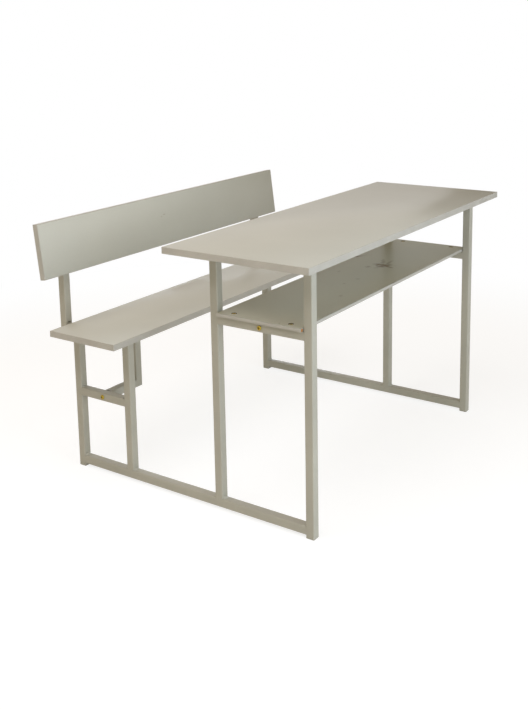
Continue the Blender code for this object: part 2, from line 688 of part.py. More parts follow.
def add_board_screws():
    """Pan heads seat on the far wall of a tube, and the tips bite into the board on its near wall."""
    length = TUBE_SIDE + 2 * FIT_GAP + BOARD_SCREW_BITE
    profile = pan_head_profile(
        BOARD_SCREW_HEAD_RADIUS, BOARD_SCREW_HEAD_HEIGHT, BOARD_SCREW_RADIUS, length
    )
    mesh = recessed_mesh(
        "board_screw", profile, BOARD_SCREW_HEAD_RADIUS, BOARD_SCREW_HEAD_HEIGHT, BOARD_SCREW_HEAD_HEIGHT
    )
    head_down = Euler((math.pi, 0, 0))
    head_back = Euler((-math.pi / 2, 0, 0))
    rows = ("front", "rear")
    under_top_rail = DESK_TOP_RAIL_Z - TUBE_SIDE / 2 - FIT_GAP
    under_seat_rail = SEAT_RAIL_Z - TUBE_SIDE / 2 - FIT_GAP
    for side, sign in SIDES:
        x = sign * FRAME_X
        for row, y in zip(rows, desktop_screw_places()):
            place = (x, y, under_top_rail)
            add_piece(f"{side}_{row}_desktop_screw", mesh, YELLOW_ZINC, place, head_down)
        for row, y in zip(rows, seat_screw_places()):
            place = (x, y, under_seat_rail)
            add_piece(f"{side}_{row}_seat_screw", mesh, YELLOW_ZINC, place, head_down)
        for row, z in zip(("lower", "upper"), backrest_screw_places()):
            place = (x, TUBE_SIDE + FIT_GAP, z)
            name = f"{side}_{row}_backrest_screw"
            add_piece(name, mesh, YELLOW_ZINC, place, head_back, BACKREST_FRAME)


clear_scene()
PARTS = new_collection("school_desk_and_bench")
CUTTERS = new_collection("cutters")
ORIGIN = new_empty("desk_and_bench_origin", location=(0, -MIDDLE_Y, 0))
BACKREST_FRAME = new_empty(
    "backrest_frame", ORIGIN, (0, BACKREST_FOOT_Y, BACKREST_FOOT_Z), Euler((-BACKREST_TILT, 0, 0))
)

PAINT = new_material("warm_grey_paint", (0.42, 0.40, 0.34), 0.45)
LAMINATE = new_material("beige_grey_laminate", (0.56, 0.53, 0.46), 0.40)
SHELF_LAMINATE = new_material("shelf_laminate", (0.48, 0.45, 0.38), 0.50)
BAND = new_material("grey_edge_band", (0.52, 0.51, 0.46), 0.40)
PLASTIC = new_material("grey_plug_plastic", (0.34, 0.32, 0.26), 0.60)
YELLOW_ZINC = new_material("yellow_zinc", (0.72, 0.48, 0.14), 0.35, 0.9)

for side_name, side_sign in SIDES:
    add_side_frame(side_name, side_sign * FRAME_X)
add_plugs()
add_desk_stretcher()
add_bench_stretcher()
add_desktop()
add_seat()
add_backrest()
add_shelf()
add_frame_bolts()
add_shelf_screws()
add_board_screws()
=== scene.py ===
"""Looks of a school desk with its bench: painted square tube, laminated boards, welds, screws and plugs.

The file is laid out as an add-on and is run as a script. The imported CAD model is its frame: every
piece takes its place and its size from a CAD node, and rides on the one body of the desk.
Right is the near end in the camera's view (-X), left is the far end (+X).
"""

import json
import math

import bmesh
import bpy
from mathutils import Euler, Matrix, Vector, noise

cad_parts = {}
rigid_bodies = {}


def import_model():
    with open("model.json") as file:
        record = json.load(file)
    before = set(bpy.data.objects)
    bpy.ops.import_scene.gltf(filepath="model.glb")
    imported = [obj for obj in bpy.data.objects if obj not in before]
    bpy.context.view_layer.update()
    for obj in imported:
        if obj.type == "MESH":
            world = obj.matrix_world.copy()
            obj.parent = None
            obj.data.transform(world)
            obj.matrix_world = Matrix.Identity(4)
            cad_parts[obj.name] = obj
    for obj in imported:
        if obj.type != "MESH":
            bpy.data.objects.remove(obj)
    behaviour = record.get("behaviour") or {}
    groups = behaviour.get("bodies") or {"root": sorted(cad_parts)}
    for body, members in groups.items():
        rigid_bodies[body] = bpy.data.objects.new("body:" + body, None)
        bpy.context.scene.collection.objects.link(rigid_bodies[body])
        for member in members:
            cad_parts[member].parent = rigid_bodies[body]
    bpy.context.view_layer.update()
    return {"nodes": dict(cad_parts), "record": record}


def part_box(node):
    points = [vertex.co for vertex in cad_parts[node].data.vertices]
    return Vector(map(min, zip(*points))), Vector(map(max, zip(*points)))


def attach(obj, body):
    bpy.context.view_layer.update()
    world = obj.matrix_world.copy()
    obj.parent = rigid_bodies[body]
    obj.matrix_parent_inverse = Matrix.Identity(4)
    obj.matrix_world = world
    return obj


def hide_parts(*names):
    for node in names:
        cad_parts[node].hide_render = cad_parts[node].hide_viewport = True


bl_info = {
    "name": "School desk with bench",
    "version": (1, 0, 0),
    "blender": (4, 5, 0),
    "location": "3D View > Sidebar > School desk",
    "description": "Finishes a packed school desk: tubes, welds, boards, screws, plugs and a studio stage",
    "category": "Add Mesh",
}

for leftover in list(bpy.data.objects):
    bpy.data.objects.remove(leftover)
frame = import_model()
RECORD_COLOURS = {entry["slot"]: entry["base_color"] for entry in frame["record"]["materials"]}
SIDES = (("right", -1), ("left", 1))
SHELF_SCREWS = [f"{side}_{row}_shelf_screw" for side, _ in SIDES for row in ("front", "rear")]
BODY = "root"
WELD_DISTANCE = 0.00001
MERGE_DISTANCE = 0.000002
SHARP_ANGLE = math.radians(32)
X_AXIS = Vector((1, 0, 0))
Y_AXIS = Vector((0, 1, 0))
Z_AXIS = Vector((0, 0, 1))

# Board, tube and fastener details that the frame's boxes don't give
TUBE_CORNER = 0.003
TUBE_WALL = 0.0012
FIT_GAP = 0.0003
EDGE_BAND = 0.001
BACKREST_TILT = math.radians(7)
BOLT_RADIUS = 0.003
BOLT_HEAD_HEIGHT = 0.0045
SHELF_SCREW_RADIUS = 0.002
SHELF_SCREW_RIM = 0.0006
SHELF_SCREW_SINK_RADIUS = 0.0066
BOARD_SCREW_RADIUS = 0.0022
BOARD_SCREW_HEAD_HEIGHT = 0.0026
BACKREST_SCREW_INSET = 0.04
SHELF_SCREW_RECESS = 0.0018
UPRIGHT_TOP_DROP = 0.015


def own_colour(name, description, default):
    return bpy.props.FloatVectorProperty(
        name=name, description=description, subtype="COLOR", size=3, min=0, max=1, default=default
    )


def record_colour(slot, name, description):
    return own_colour(name, description, RECORD_COLOURS[slot])


def length_property(name, description, default):
    return bpy.props.FloatProperty(
        name=name, description=description, unit="LENGTH", precision=5, min=0, default=default
    )


def power_property(name, description, default):
    return bpy.props.FloatProperty(name=name, description=description, unit="POWER", min=0, default=default)


class SchoolDeskFinishes(bpy.types.PropertyGroup):
    """Colours of the desk's finishes."""

    frame_paint: record_colour("frame_paint", "Frame paint", "Satin paint on the steel tubes")
    laminate: own_colour("Board laminate", "Laminate on the three large boards", (0.495, 0.487, 0.432))
    shelf_laminate: own_colour("Shelf laminate", "Laminate on the book shelf", (0.52, 0.49, 0.385))
    edge_band: own_colour("Edge band", "Plastic band on the boards' edges", (0.435, 0.41, 0.365))
    plug_plastic: record_colour("plug_plastic", "Plugs", "Moulded plugs in the tubes' open ends")
    yellow_zinc: own_colour("Yellow zinc", "Plating on bolts and screws", (0.465, 0.34, 0.055))
    board_core: own_colour("Board core", "Raw chipboard where it shows", (0.29, 0.135, 0.05))
    glue_line: own_colour("Glue line", "Glue between laminate and edge band", (0.23, 0.17, 0.11))
    # This colour also paints the shade round the shelf's far sunk holes
    stain_and_shade: own_colour("Stain", "Smudges on the book shelf and the backrest", (0.19, 0.13, 0.065))


class SchoolDeskTrim(bpy.types.PropertyGroup):
    """Sizes of the small trim on the desk."""

    panel_arris: length_property("Panel arris", "Width of the glue line along a board's faces", 0.0003)
    band_arris: length_property("Band arris", "Rounding of an edge band's long edges", 0.0004)
    shelf_arris: length_property("Shelf arris", "Rounding of the book shelf's edges", 0.0018)
    weld_leg: length_property("Weld leg", "Reach of a weld fillet along each tube", 0.0036)
    ground_weld: length_property("Ground weld", "Height of a weld that was ground flush", 0.00012)
    plug_dish: length_property("Plug dish", "Depth of the dish in a plug's face", 0.0006)


class SchoolDeskStage(bpy.types.PropertyGroup):
    """Levels of the studio lights and size of the floor."""

    floor_reach: length_property("Floor reach", "From the desk to the floor's edge", 14.0)
    horizon: own_colour("Horizon", "Light from the level all round", (0.56, 0.54, 0.395))
    overhead: own_colour("Overhead", "Light from straight above", (0.24, 0.13, 0.02))
    ceiling_lamp: power_property("Ceiling lamp", "Power of the lamp above the near end", 60)
    front_lamp: power_property("Front lamp", "Power of the cool lamp before the desk", 37)
    low_lamp: power_property("Low lamp", "Power of the weak lamp near the floor", 16)
    back_lamp: power_property("Back lamp", "Power of the lamp for the sides that face away", 34)


def add_node(tree, kind, inputs=None, **settings):
    """A shader node with its settings, and each input set to a number or linked to a socket."""
    made = tree.nodes.new(kind)
    for key, value in settings.items():
        setattr(made, key, value)
    for key, value in (inputs or {}).items():
        if isinstance(value, bpy.types.NodeSocket):
            tree.links.new(value, made.inputs[key])
        else:
            made.inputs[key].default_value = value
    return made


def new_material(name, roughness=0.5, metallic=0.0, specular=0.5):
    """A material, its tree and shader, and the place on its piece that the textures follow."""
    material = bpy.data.materials.new("desk_" + name)
    material.use_nodes = True
    tree = material.node_tree
    shader = tree.nodes["Principled BSDF"]
    shader.inputs["Roughness"].default_value = roughness
    shader.inputs["Metallic"].default_value = metallic
    shader.inputs["Specular IOR Level"].default_value = specular
    place = add_node(tree, "ShaderNodeTexCoord").outputs["Object"]
    return material, tree, shader, place


def stretched(tree, place, stretch):
    return add_node(tree, "ShaderNodeVectorMath", {0: place, 1: stretch}, operation="MULTIPLY").outputs[0]


def noise_value(tree, place, per_metre, detail=2, roughness=0.5):
    inputs = {"Vector": place, "Scale": per_metre, "Detail": detail, "Roughness": roughness}
    return add_node(tree, "ShaderNodeTexNoise", inputs).outputs[0]


def remapped(tree, value, low, high, to_low=0.0, to_high=1.0):
    """The value spread smoothly, so that low becomes to_low and high becomes to_high."""
    inputs = {"Value": value, "From Min": low, "From Max": high, "To Min": to_low, "To Max": to_high}
    return add_node(tree, "ShaderNodeMapRange", inputs, interpolation_type="SMOOTHSTEP").outputs[0]


# Most of a noise texture's values lie between these two
NOISE_LOW = 0.3
NOISE_HIGH = 0.7


def patches(tree, place, per_metre, detail=2, low=NOISE_LOW, high=NOISE_HIGH, span=(0.0, 1.0)):
    """Soft patches that run over the span."""
    return remapped(tree, noise_value(tree, place, per_metre, detail), low, high, *span)


def calculated(tree, operation, first, second):
    return add_node(tree, "ShaderNodeMath", {0: first, 1: second}, operation=operation).outputs[0]


def length_of(tree, vector):
    return add_node(tree, "ShaderNodeVectorMath", {0: vector}, operation="LENGTH").outputs["Value"]


def mixed(tree, share, first, second):
    """A colour from first to second by share; a plain colour is given as three numbers."""
    colours = [c if isinstance(c, bpy.types.NodeSocket) else (*c, 1) for c in (first, second)]
    inputs = {0: share, 6: colours[0], 7: colours[1]}
    return add_node(tree, "ShaderNodeMix", inputs, data_type="RGBA").outputs[2]


def scaled(colour, factor):
    return tuple(min(1.0, channel * factor) for channel in colour)


def clouded(tree, share, colour, low, high):
    """The colour, darker and lighter by share."""
    return mixed(tree, share, scaled(colour, low), scaled(colour, high))


def covered(tree, tone, mask, strength, cover):
    """The tone under a cover that lies where the mask does, at that strength."""
    return mixed(tree, calculated(tree, "MULTIPLY", mask, strength), tone, cover)


SPOT_CORE = 0.15


def spot(tree, place, centre, reach, turn=0, ragged=0.0, per_metre=60):
    """1 at the centre of a soft spot and 0 past its reach, turned so many degrees, with a ragged edge."""
    inputs = {"Vector": place, "Location": centre, "Scale": reach, "Rotation": (0, 0, math.radians(turn))}
    offset = add_node(tree, "ShaderNodeMapping", inputs, vector_type="TEXTURE").outputs[0]
    wander = patches(tree, place, per_metre, detail=3, span=(-ragged, ragged))
    distance = calculated(tree, "ADD", length_of(tree, offset), wander)
    return remapped(tree, distance, SPOT_CORE, 1.0, 1.0, 0.0)


def coat(tree, shader, tone, roughness=None):
    """Give the shader its tone and, where that varies too, its roughness."""
    tree.links.new(tone, shader.inputs["Base Color"])
    if roughness is not None:
        tree.links.new(roughness, shader.inputs["Roughness"])


def roughen(tree, shader, height, distance, strength=1.0):
    """A bump in the surface, this distance high."""
    inputs = {"Height": height, "Distance": distance, "Strength": strength}
    bump = add_node(tree, "ShaderNodeBump", inputs)
    tree.links.new(bump.outputs[0], shader.inputs["Normal"])


def frame_paint(colour):
    """Brushed-on satin paint: soft clouds of tone, a fine skin and painted shade beside some welds."""
    material, tree, shader, place = new_material("frame_paint", roughness=0.45, specular=0.25)
    clouds = patches(tree, place, per_metre=7, detail=3)
    tone = clouded(tree, clouds, colour, low=0.955, high=1.04)
    flecks = patches(tree, place, per_metre=420, low=0.35, high=0.65)
    tone = covered(tree, tone, flecks, strength=0.12, cover=scaled(colour, 0.8))
    # Painted shade: the corners beside some welds are darkened
    for centre, reach in WELD_CORNER_SHADE:
        painted_shade = spot(tree, place, centre, reach, ragged=0.3, per_metre=300)
        tone = covered(tree, tone, painted_shade, strength=0.9, cover=scaled(colour, 0.18))
    sheen = patches(tree, place, per_metre=24, detail=3, low=0.25, high=0.75, span=(0.37, 0.5))
    coat(tree, shader, tone, sheen)
    roughen(tree, shader, noise_value(tree, place, per_metre=260), distance=0.0001, strength=0.5)
    return material


FIBRE_STRETCH = (0.25, 1, 1)
WIPE_STRETCH = (0.5, 1, 1)
WIPED_GLOSS = 0.006


def laminate(name, colour, roughness, specular, marks=()):
    """Satin laminate: a fine printed fleck, faint clouds, wiped patches in its gloss, and marks."""
    material, tree, shader, place = new_material(name, roughness, specular=specular)
    clouds = patches(tree, place, per_metre=3.2, detail=3)
    tone = clouded(tree, clouds, colour, low=0.975, high=1.025)
    along = stretched(tree, place, FIBRE_STRETCH)
    fibres = noise_value(tree, along, per_metre=520, detail=3, roughness=0.6)
    faint = remapped(tree, fibres, 0.35, 0.7, to_low=0.0, to_high=0.1)
    tone = mixed(tree, faint, tone, scaled(colour, 0.8))
    for centre, reach, turn, ragged, per_metre, strength, mark_colour in marks:
        mask = spot(tree, place, centre, reach, turn, ragged, per_metre)
        tone = covered(tree, tone, mask, strength, mark_colour)
    across = stretched(tree, place, WIPE_STRETCH)
    wipes = noise_value(tree, across, per_metre=11, detail=4, roughness=0.6)
    gloss = remapped(tree, wipes, 0.25, 0.75, roughness - WIPED_GLOSS, roughness + WIPED_GLOSS)
    coat(tree, shader, tone, gloss)
    roughen(tree, shader, noise_value(tree, place, per_metre=900), distance=0.00004, strength=0.4)
    return material


DRAG_STRETCH = (0.02, 0.02, 1)


def edge_band(colour):
    """Thin plastic band with faint lengthwise drag marks from the trimming."""
    material, tree, shader, place = new_material("edge_band", roughness=0.45)
    clouds = patches(tree, place, per_metre=14, detail=3)
    tone = clouded(tree, clouds, colour, low=0.96, high=1.04)
    drag = noise_value(tree, stretched(tree, place, DRAG_STRETCH), per_metre=900)
    faint = remapped(tree, drag, 0.4, 0.7, to_low=0.0, to_high=0.15)
    tone = mixed(tree, faint, tone, scaled(colour, 0.8))
    coat(tree, shader, tone, patches(tree, place, per_metre=60, span=(0.4, 0.52)))
    roughen(tree, shader, drag, distance=0.00003, strength=0.5)
    return material


def board_core(name, colour):
    """Raw chipboard: coarse and fine chips pressed together."""
    material, tree, shader, place = new_material(name, roughness=0.85, specular=0.2)
    chips = add_node(tree, "ShaderNodeTexVoronoi", {"Vector": place, "Scale": 700}).outputs["Distance"]
    tone = clouded(tree, remapped(tree, chips, 0.1, 0.7), colour, low=0.65, high=1.35)
    dust = patches(tree, place, per_metre=1500, low=0.4, high=0.7)
    coat(tree, shader, covered(tree, tone, dust, strength=0.3, cover=scaled(colour, 1.7)))
    roughen(tree, shader, chips, distance=0.0003)
    return material


def glue_line(colour):
    """Glue that is darker along some stretches than others."""
    material, tree, shader, place = new_material("glue_line", roughness=0.6)
    pale = patches(tree, place, per_metre=35, detail=3, low=0.35, high=0.65)
    coat(tree, shader, mixed(tree, pale, colour, scaled(colour, 1.9)))
    roughen(tree, shader, noise_value(tree, place, per_metre=400), distance=0.00005)
    return material


def plug_plastic(colour):
    """Moulded plastic with scuffed patches."""
    material, tree, shader, place = new_material("plug_plastic", roughness=0.55)
    scuffs = noise_value(tree, place, per_metre=160, detail=4, roughness=0.65)
    scuffed = remapped(tree, scuffs, 0.45, 0.7)
    tone = covered(tree, colour, scuffed, strength=0.4, cover=scaled(colour, 1.5))
    coat(tree, shader, tone, remapped(tree, scuffed, 0.0, 1.0, to_low=0.5, to_high=0.7))
    roughen(tree, shader, noise_value(tree, place, per_metre=700), distance=0.00006)
    return material


# By how much the plating's red, green and blue differ from its colour in greenish and coppery patches
ZINC_GREEN = (0.8, 1.05, 1.1)
ZINC_COPPER = (1.15, 0.85, 0.6)


def shifted(colour, shift):
    return [channel * change for channel, change in zip(colour, shift)]


def yellow_zinc(name, colour, low, high):
    """Yellow zinc plating, clouded from a greenish gold, at tone low, to copper, at tone high."""
    material, tree, shader, place = new_material(name, roughness=0.38, metallic=0.75)
    clouds = patches(tree, place, per_metre=260, detail=3, low=0.35, high=0.65)
    green = scaled(shifted(colour, ZINC_GREEN), low)
    copper = scaled(shifted(colour, ZINC_COPPER), high)
    dull = patches(tree, place, per_metre=900, detail=3, span=(0.3, 0.5))
    coat(tree, shader, mixed(tree, clouds, green, copper), dull)
    roughen(tree, shader, noise_value(tree, place, per_metre=1800), distance=0.00004, strength=0.5)
    return material


# Painted shade beside some welds: the middle of each dark patch and its reach, in the desk's frame
WELD_CORNER_SHADE = (
    ((-0.497, 0.4333, 0.446), (0.011, 0.005, 0.0045)),
    ((-0.5, 0.217, 0.2525), (0.014, 0.0055, 0.0045)),
    ((-0.486, 0.298, 0.2525), (0.004, 0.016, 0.004)),
    ((-0.5, 0.387, 0.0085), (0.014, 0.007, 0.0035)),
)

# Marks on the boards: place, reach, turn in degrees, raggedness and its scale per metre, strength, colour
BACKREST_MARKS = (
    ((-0.048, 0.018), (0.007, 0.0015), 12, 0.4, 700, 0.8, "stain_and_shade"),
    ((-0.062, 0.013), (0.006, 0.0012), 12, 0.4, 700, 0.6, "stain_and_shade"),
    ((-0.347, -0.0815), (0.006, 0.0012), 0, 0.3, 600, 0.9, "board_core"),
)
SHELF_MARKS = (
    ((0.160, -0.279), (0.027, 0.037), 0, 0.3, 60, 0.85, "stain_and_shade"),
    ((0.138, -0.279), (0.036, 0.011), -10, 0.3, 60, 0.6, "stain_and_shade"),
    ((0.194, -0.262), (0.060, 0.009), 26, 0.3, 60, 0.45, "stain_and_shade"),
    ((0.191, -0.281), (0.050, 0.008), 7, 0.3, 60, 0.5, "stain_and_shade"),
    ((0.150, -0.302), (0.032, 0.009), 72, 0.3, 60, 0.6, "stain_and_shade"),
    ((0.162, -0.262), (0.024, 0.008), 80, 0.3, 60, 0.5, "stain_and_shade"),
    ((0.226, -0.157), (0.050, 0.013), -30, 0.35, 50, 0.65, "stain_and_shade"),
    ((0.215, -0.149), (0.030, 0.009), -4, 0.35, 50, 0.5, "stain_and_shade"),
    ((0.119, -0.248), (0.014, 0.011), 20, 0.25, 120, 0.55, "stain_and_shade"),
    ((0.026, -0.1975), (0.011, 0.008), 0, 0.25, 120, 0.32, "stain_and_shade"),
    ((-0.026, -0.2907), (0.012, 0.010), 30, 0.25, 120, 0.32, "stain_and_shade"),
    ((-0.092, -0.2835), (0.010, 0.008), 0, 0.25, 120, 0.32, "stain_and_shade"),
    ((-0.208, -0.3382), (0.014, 0.009), 15, 0.25, 120, 0.28, "stain_and_shade"),
    ((-0.5085, -0.331), (0.003, 0.003), 0, 0.2, 500, 1.0, "stain_and_shade"),
    # These two are painted shade round the far sunk holes, in the stain's colour
    ((0.4975, -0.3597), (0.0095, 0.0085), 0, 0.25, 300, 0.95, "stain_and_shade"),
    ((0.4975, -0.1817), (0.0095, 0.0085), 0, 0.25, 300, 0.95, "stain_and_shade"),
)
# How high the marked faces lie, in their pieces' own places, and how far a mark reaches up and down
BACKREST_FACE_LEVEL = 0.009
SHELF_TOP_LEVEL = 0.568
MARK_DEPTH = 0.01

# Each laminate's colour property, its tone against that, its roughness and its specular level
# The seat's and the backrest's tones are painted light: the desktop's laminate, made brighter on them
LAMINATES = {
    "laminate": ("laminate", 1.0, 0.33, 0.09),
    "seat_laminate": ("laminate", 1.06, 0.45, 0.3),
    "backrest_laminate": ("laminate", 1.02, 0.38, 0.15),
    "shelf_laminate": ("shelf_laminate", 1.0, 0.36, 0.09),
}
MARKED_FACES = {
    "backrest_laminate": (BACKREST_MARKS, BACKREST_FACE_LEVEL),
    "shelf_laminate": (SHELF_MARKS, SHELF_TOP_LEVEL),
}
# The chipboard's tone in the open, and in a sunk hole, where it is darkened by painted shade
CORES = {"board_core": 1.0, "sink_core": 0.07}
# The plating's greenish and coppery tones on a fastener, and the darker ones in its recess, which are
# painted shade
PLATINGS = {"yellow_zinc": (0.85, 1.1), "zinc_recess": (0.3, 0.5)}
# The finishes that follow from their colour alone
MAKERS = {
    "frame_paint": frame_paint,
    "edge_band": edge_band,
    "glue_line": glue_line,
    "plug_plastic": plug_plastic,
}
FINISHES_MADE = {}


def finish(name):
    """The material of that name, made when it is first asked for."""
    if name not in FINISHES_MADE:
        FINISHES_MADE[name] = make_finish(name, bpy.context.scene.school_desk_finishes)
    return FINISHES_MADE[name]


def make_finish(name, colours):
    if name in LAMINATES:
        source, tone, roughness, specular = LAMINATES[name]
        colour = scaled(getattr(colours, source), tone)
        return laminate(name, colour, roughness, specular, face_marks(name, colours))
    if name in CORES:
        return board_core(name, scaled(colours.board_core, CORES[name]))
    if name in PLATINGS:
        return yellow_zinc(name, colours.yellow_zinc, *PLATINGS[name])
    return MAKERS[name](getattr(colours, name))


def face_marks(name, colours):
    """The marks on that laminate, at its face's level and with their colours looked up."""
    marks, level = MARKED_FACES.get(name, ((), 0))
    ready = []
    for (x, y), (reach_x, reach_y), *manner, colour in marks:
        reach = (reach_x, reach_y, MARK_DEPTH)
        ready.append(((x, y, level), reach, *manner, tuple(getattr(colours, colour))))
    return ready


def rounded_outline(width, depth, z, radius=0.0, steps=0):
    """Points round a level rectangle about Z; each corner is an arc of so many steps, or a point."""
    points = []
    for quarter, (right, rear) in enumerate(((1, 1), (-1, 1), (-1, -1), (1, -1))):
        for step in range(steps + 1):
            turn = math.pi / 2 * (quarter + step / max(steps, 1))
            x = right * (width / 2 - radius) + radius * math.cos(turn)
            y = rear * (depth / 2 - radius) + radius * math.sin(turn)
            points.append((x, y, z))
    return points


def stack(bm, layers, wall_finishes=None, cap_finishes=(0, 0)):
    """A closed solid through outlines of as many points each, from the first layer to the last."""
    rings = [[bm.verts.new(point) for point in layer] for layer in layers]
    bottom = bm.faces.new(list(reversed(rings[0])))
    top = bm.faces.new(rings[-1])
    bottom.material_index, top.material_index = cap_finishes
    for level, (lower, upper) in enumerate(zip(rings, rings[1:])):
        for i in range(len(lower)):
            j = (i + 1) % len(lower)
            wall = bm.faces.new((lower[i], lower[j], upper[j], upper[i]))
            wall.material_index = wall_finishes[level] if wall_finishes else 0


def mark_edges(bm):
    """Smooth faces, with sharp edges where the shape turns more than the sharp angle."""
    for face in bm.faces:
        face.smooth = True
    for edge in bm.edges:
        edge.smooth = len(edge.link_faces) == 2 and edge.calc_face_angle(0) < SHARP_ANGLE


def mesh_from(bm, name, finishes=()):
    """A mesh with its finishes from the mesh in the making, which is freed."""
    mesh = bpy.data.meshes.new(name)
    bm.to_mesh(mesh)
    bm.free()
    for each in finishes:
        mesh.materials.append(finish(each))
    return mesh


def new_object(name, data):
    made = bpy.data.objects.new(name, data)
    bpy.context.scene.collection.objects.link(made)
    return made


def add_piece(name, bm, finishes, nodes=(), matrix=None, weighted=True):
    """A new piece of the desk from a mesh in the making; it stands for the CAD nodes that it names."""
    mark_edges(bm)
    add_mesh_piece(name, mesh_from(bm, name, finishes), nodes, matrix, weighted)


def add_mesh_piece(name, mesh, nodes=(), matrix=None, weighted=True):
    piece = new_object(name, mesh)
    if matrix is not None:
        piece.matrix_world = matrix
    if weighted:
        normals = piece.modifiers.new("flat_faces_stay_flat", "WEIGHTED_NORMAL")
        normals.keep_sharp = True
        normals.weight = 100
    if nodes:
        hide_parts(*nodes)
    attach(piece, BODY)


def middle_of(node):
    low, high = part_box(node)
    return (low + high) / 2


def size_of(node):
    low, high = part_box(node)
    return high - low


TUBE_SIDE = size_of("right_desk_front_leg").x


def painted_tubes():
    subparts = frame["record"]["subparts"]
    return [entry["node"] for entry in subparts if entry["material_slot"] == "frame_paint"]


def add_tube(node):
    """The tube's own shape, welded into one skin with smooth corners and flat sides."""
    bm = bmesh.new()
    bm.from_mesh(frame["nodes"][node].data)
    bmesh.ops.remove_doubles(bm, verts=bm.verts, dist=WELD_DISTANCE)
    for face in bm.faces:
        face.material_index = 0
    add_piece(node + "_tube", bm, ["frame_paint"], [node])


# Inside corners of a side frame that are welded: upright tube, its face, level tube, its face
WELDED_CORNERS = (
    ("desk_front_leg", "rear", "floor_rail", "top"),
    ("desk_front_leg", "rear", "floor_rail", "bottom"),
    ("desk_rear_leg", "front", "floor_rail", "top"),
    ("desk_rear_leg", "rear", "floor_rail", "top"),
    ("bench_front_leg", "front", "floor_rail", "top"),
    ("bench_front_leg", "rear", "floor_rail", "top"),
    ("bench_rear_leg", "front", "floor_rail", "top"),
    ("bench_rear_leg", "front", "floor_rail", "bottom"),
    ("desk_front_leg", "rear", "desk_mid_rail", "bottom"),
    ("desk_rear_leg", "front", "desk_mid_rail", "bottom"),
    ("desk_front_leg", "rear", "desk_top_rail", "bottom"),
    ("desk_rear_leg", "front", "desk_top_rail", "bottom"),
    ("bench_front_leg", "rear", "bench_mid_rail", "top"),
    ("bench_front_leg", "rear", "bench_mid_rail", "bottom"),
    ("bench_rear_leg", "front", "bench_mid_rail", "top"),
    ("bench_rear_leg", "front", "bench_mid_rail", "bottom"),
    ("bench_front_leg", "rear", "seat_rail", "bottom"),
    ("bench_rear_leg", "front", "seat_rail", "bottom"),
    ("bench_rear_leg", "rear", "seat_rail", "bottom"),
    ("backrest_upright", "front", "seat_rail", "top"),
)

# Flush joints that were ground after welding: the tube that ends there, and which end it is
GROUND_ENDS = [("desk_rear_leg", "bottom"), ("bench_front_leg", "bottom"), ("bench_rear_leg", "top")]
for whole_rail in ("floor_rail", "desk_mid_rail", "desk_top_rail", "bench_mid_rail"):
    GROUND_ENDS += [(whole_rail, "front"), (whole_rail, "rear")]
GROUND_ENDS.append(("seat_rail", "front"))

# Weld beads: a share is of a bead's leg, and the taper's is of its run
BEAD_STATIONS = 20
BEAD_STEPS = 6
BEAD_SINK = 0.0005
BEAD_BULGE = 0.16
BEAD_RIPPLES = 5
BEAD_RIPPLE_SHARE = 0.05
BEAD_LUMPS_PER_METRE = 140
BEAD_LUMP_SHARE = 0.2
BEAD_TAPER_SHARE = 0.3
BEAD_TIP_SHARE = 0.2
BEAD_INSET = 0.0035
# The leg of the beads on the floor rail's top, against the others
FLOOR_BEAD_SHARE = 1.8


def weld_bead(bm, start, run, first, second, leg):
    """A lumpy fillet along an inside corner; first and second point away from it along the two tubes."""
    layers = []
    for station in range(BEAD_STATIONS + 1):
        share = station / BEAD_STATIONS
        corner = start + run * share
        end = min(1.0, share / BEAD_TAPER_SHARE, (1 - share) / BEAD_TAPER_SHARE)
        taper = BEAD_TIP_SHARE + (1 - BEAD_TIP_SHARE) * math.sqrt(end)
        lump = BEAD_LUMP_SHARE * noise.noise(corner * BEAD_LUMPS_PER_METRE)
        ripple = BEAD_RIPPLE_SHARE * math.sin(share * BEAD_RIPPLES * math.tau)
        reach = leg * taper * (1 + lump + ripple)
        layer = [corner - BEAD_SINK * (first + second), corner + first * reach - second * BEAD_SINK]
        for step in range(BEAD_STEPS + 1):
            way = step / BEAD_STEPS
            bulge = BEAD_BULGE * reach * 4 * way * (1 - way)
            layer.append(corner + first * (reach * (1 - way) + bulge) + second * (reach * way + bulge))
        layer.append(corner + second * reach - first * BEAD_SINK)
        layers.append(layer)
    stack(bm, layers)


# Swellings over ground welds: a share is of their height, and the wander's is of their width
GROUND_COLUMNS = 14
GROUND_ROWS = 6
GROUND_LENGTH = TUBE_SIDE - 2 * TUBE_CORNER
GROUND_WIDTH = 0.004
GROUND_SINK_SHARE = 0.6
GROUND_BELOW_SHARE = 1.2
GROUND_WANDER_SHARE = 0.18
GROUND_WANDER_RUN = 0.01
GROUND_WANDERS_PER_METRE = 220


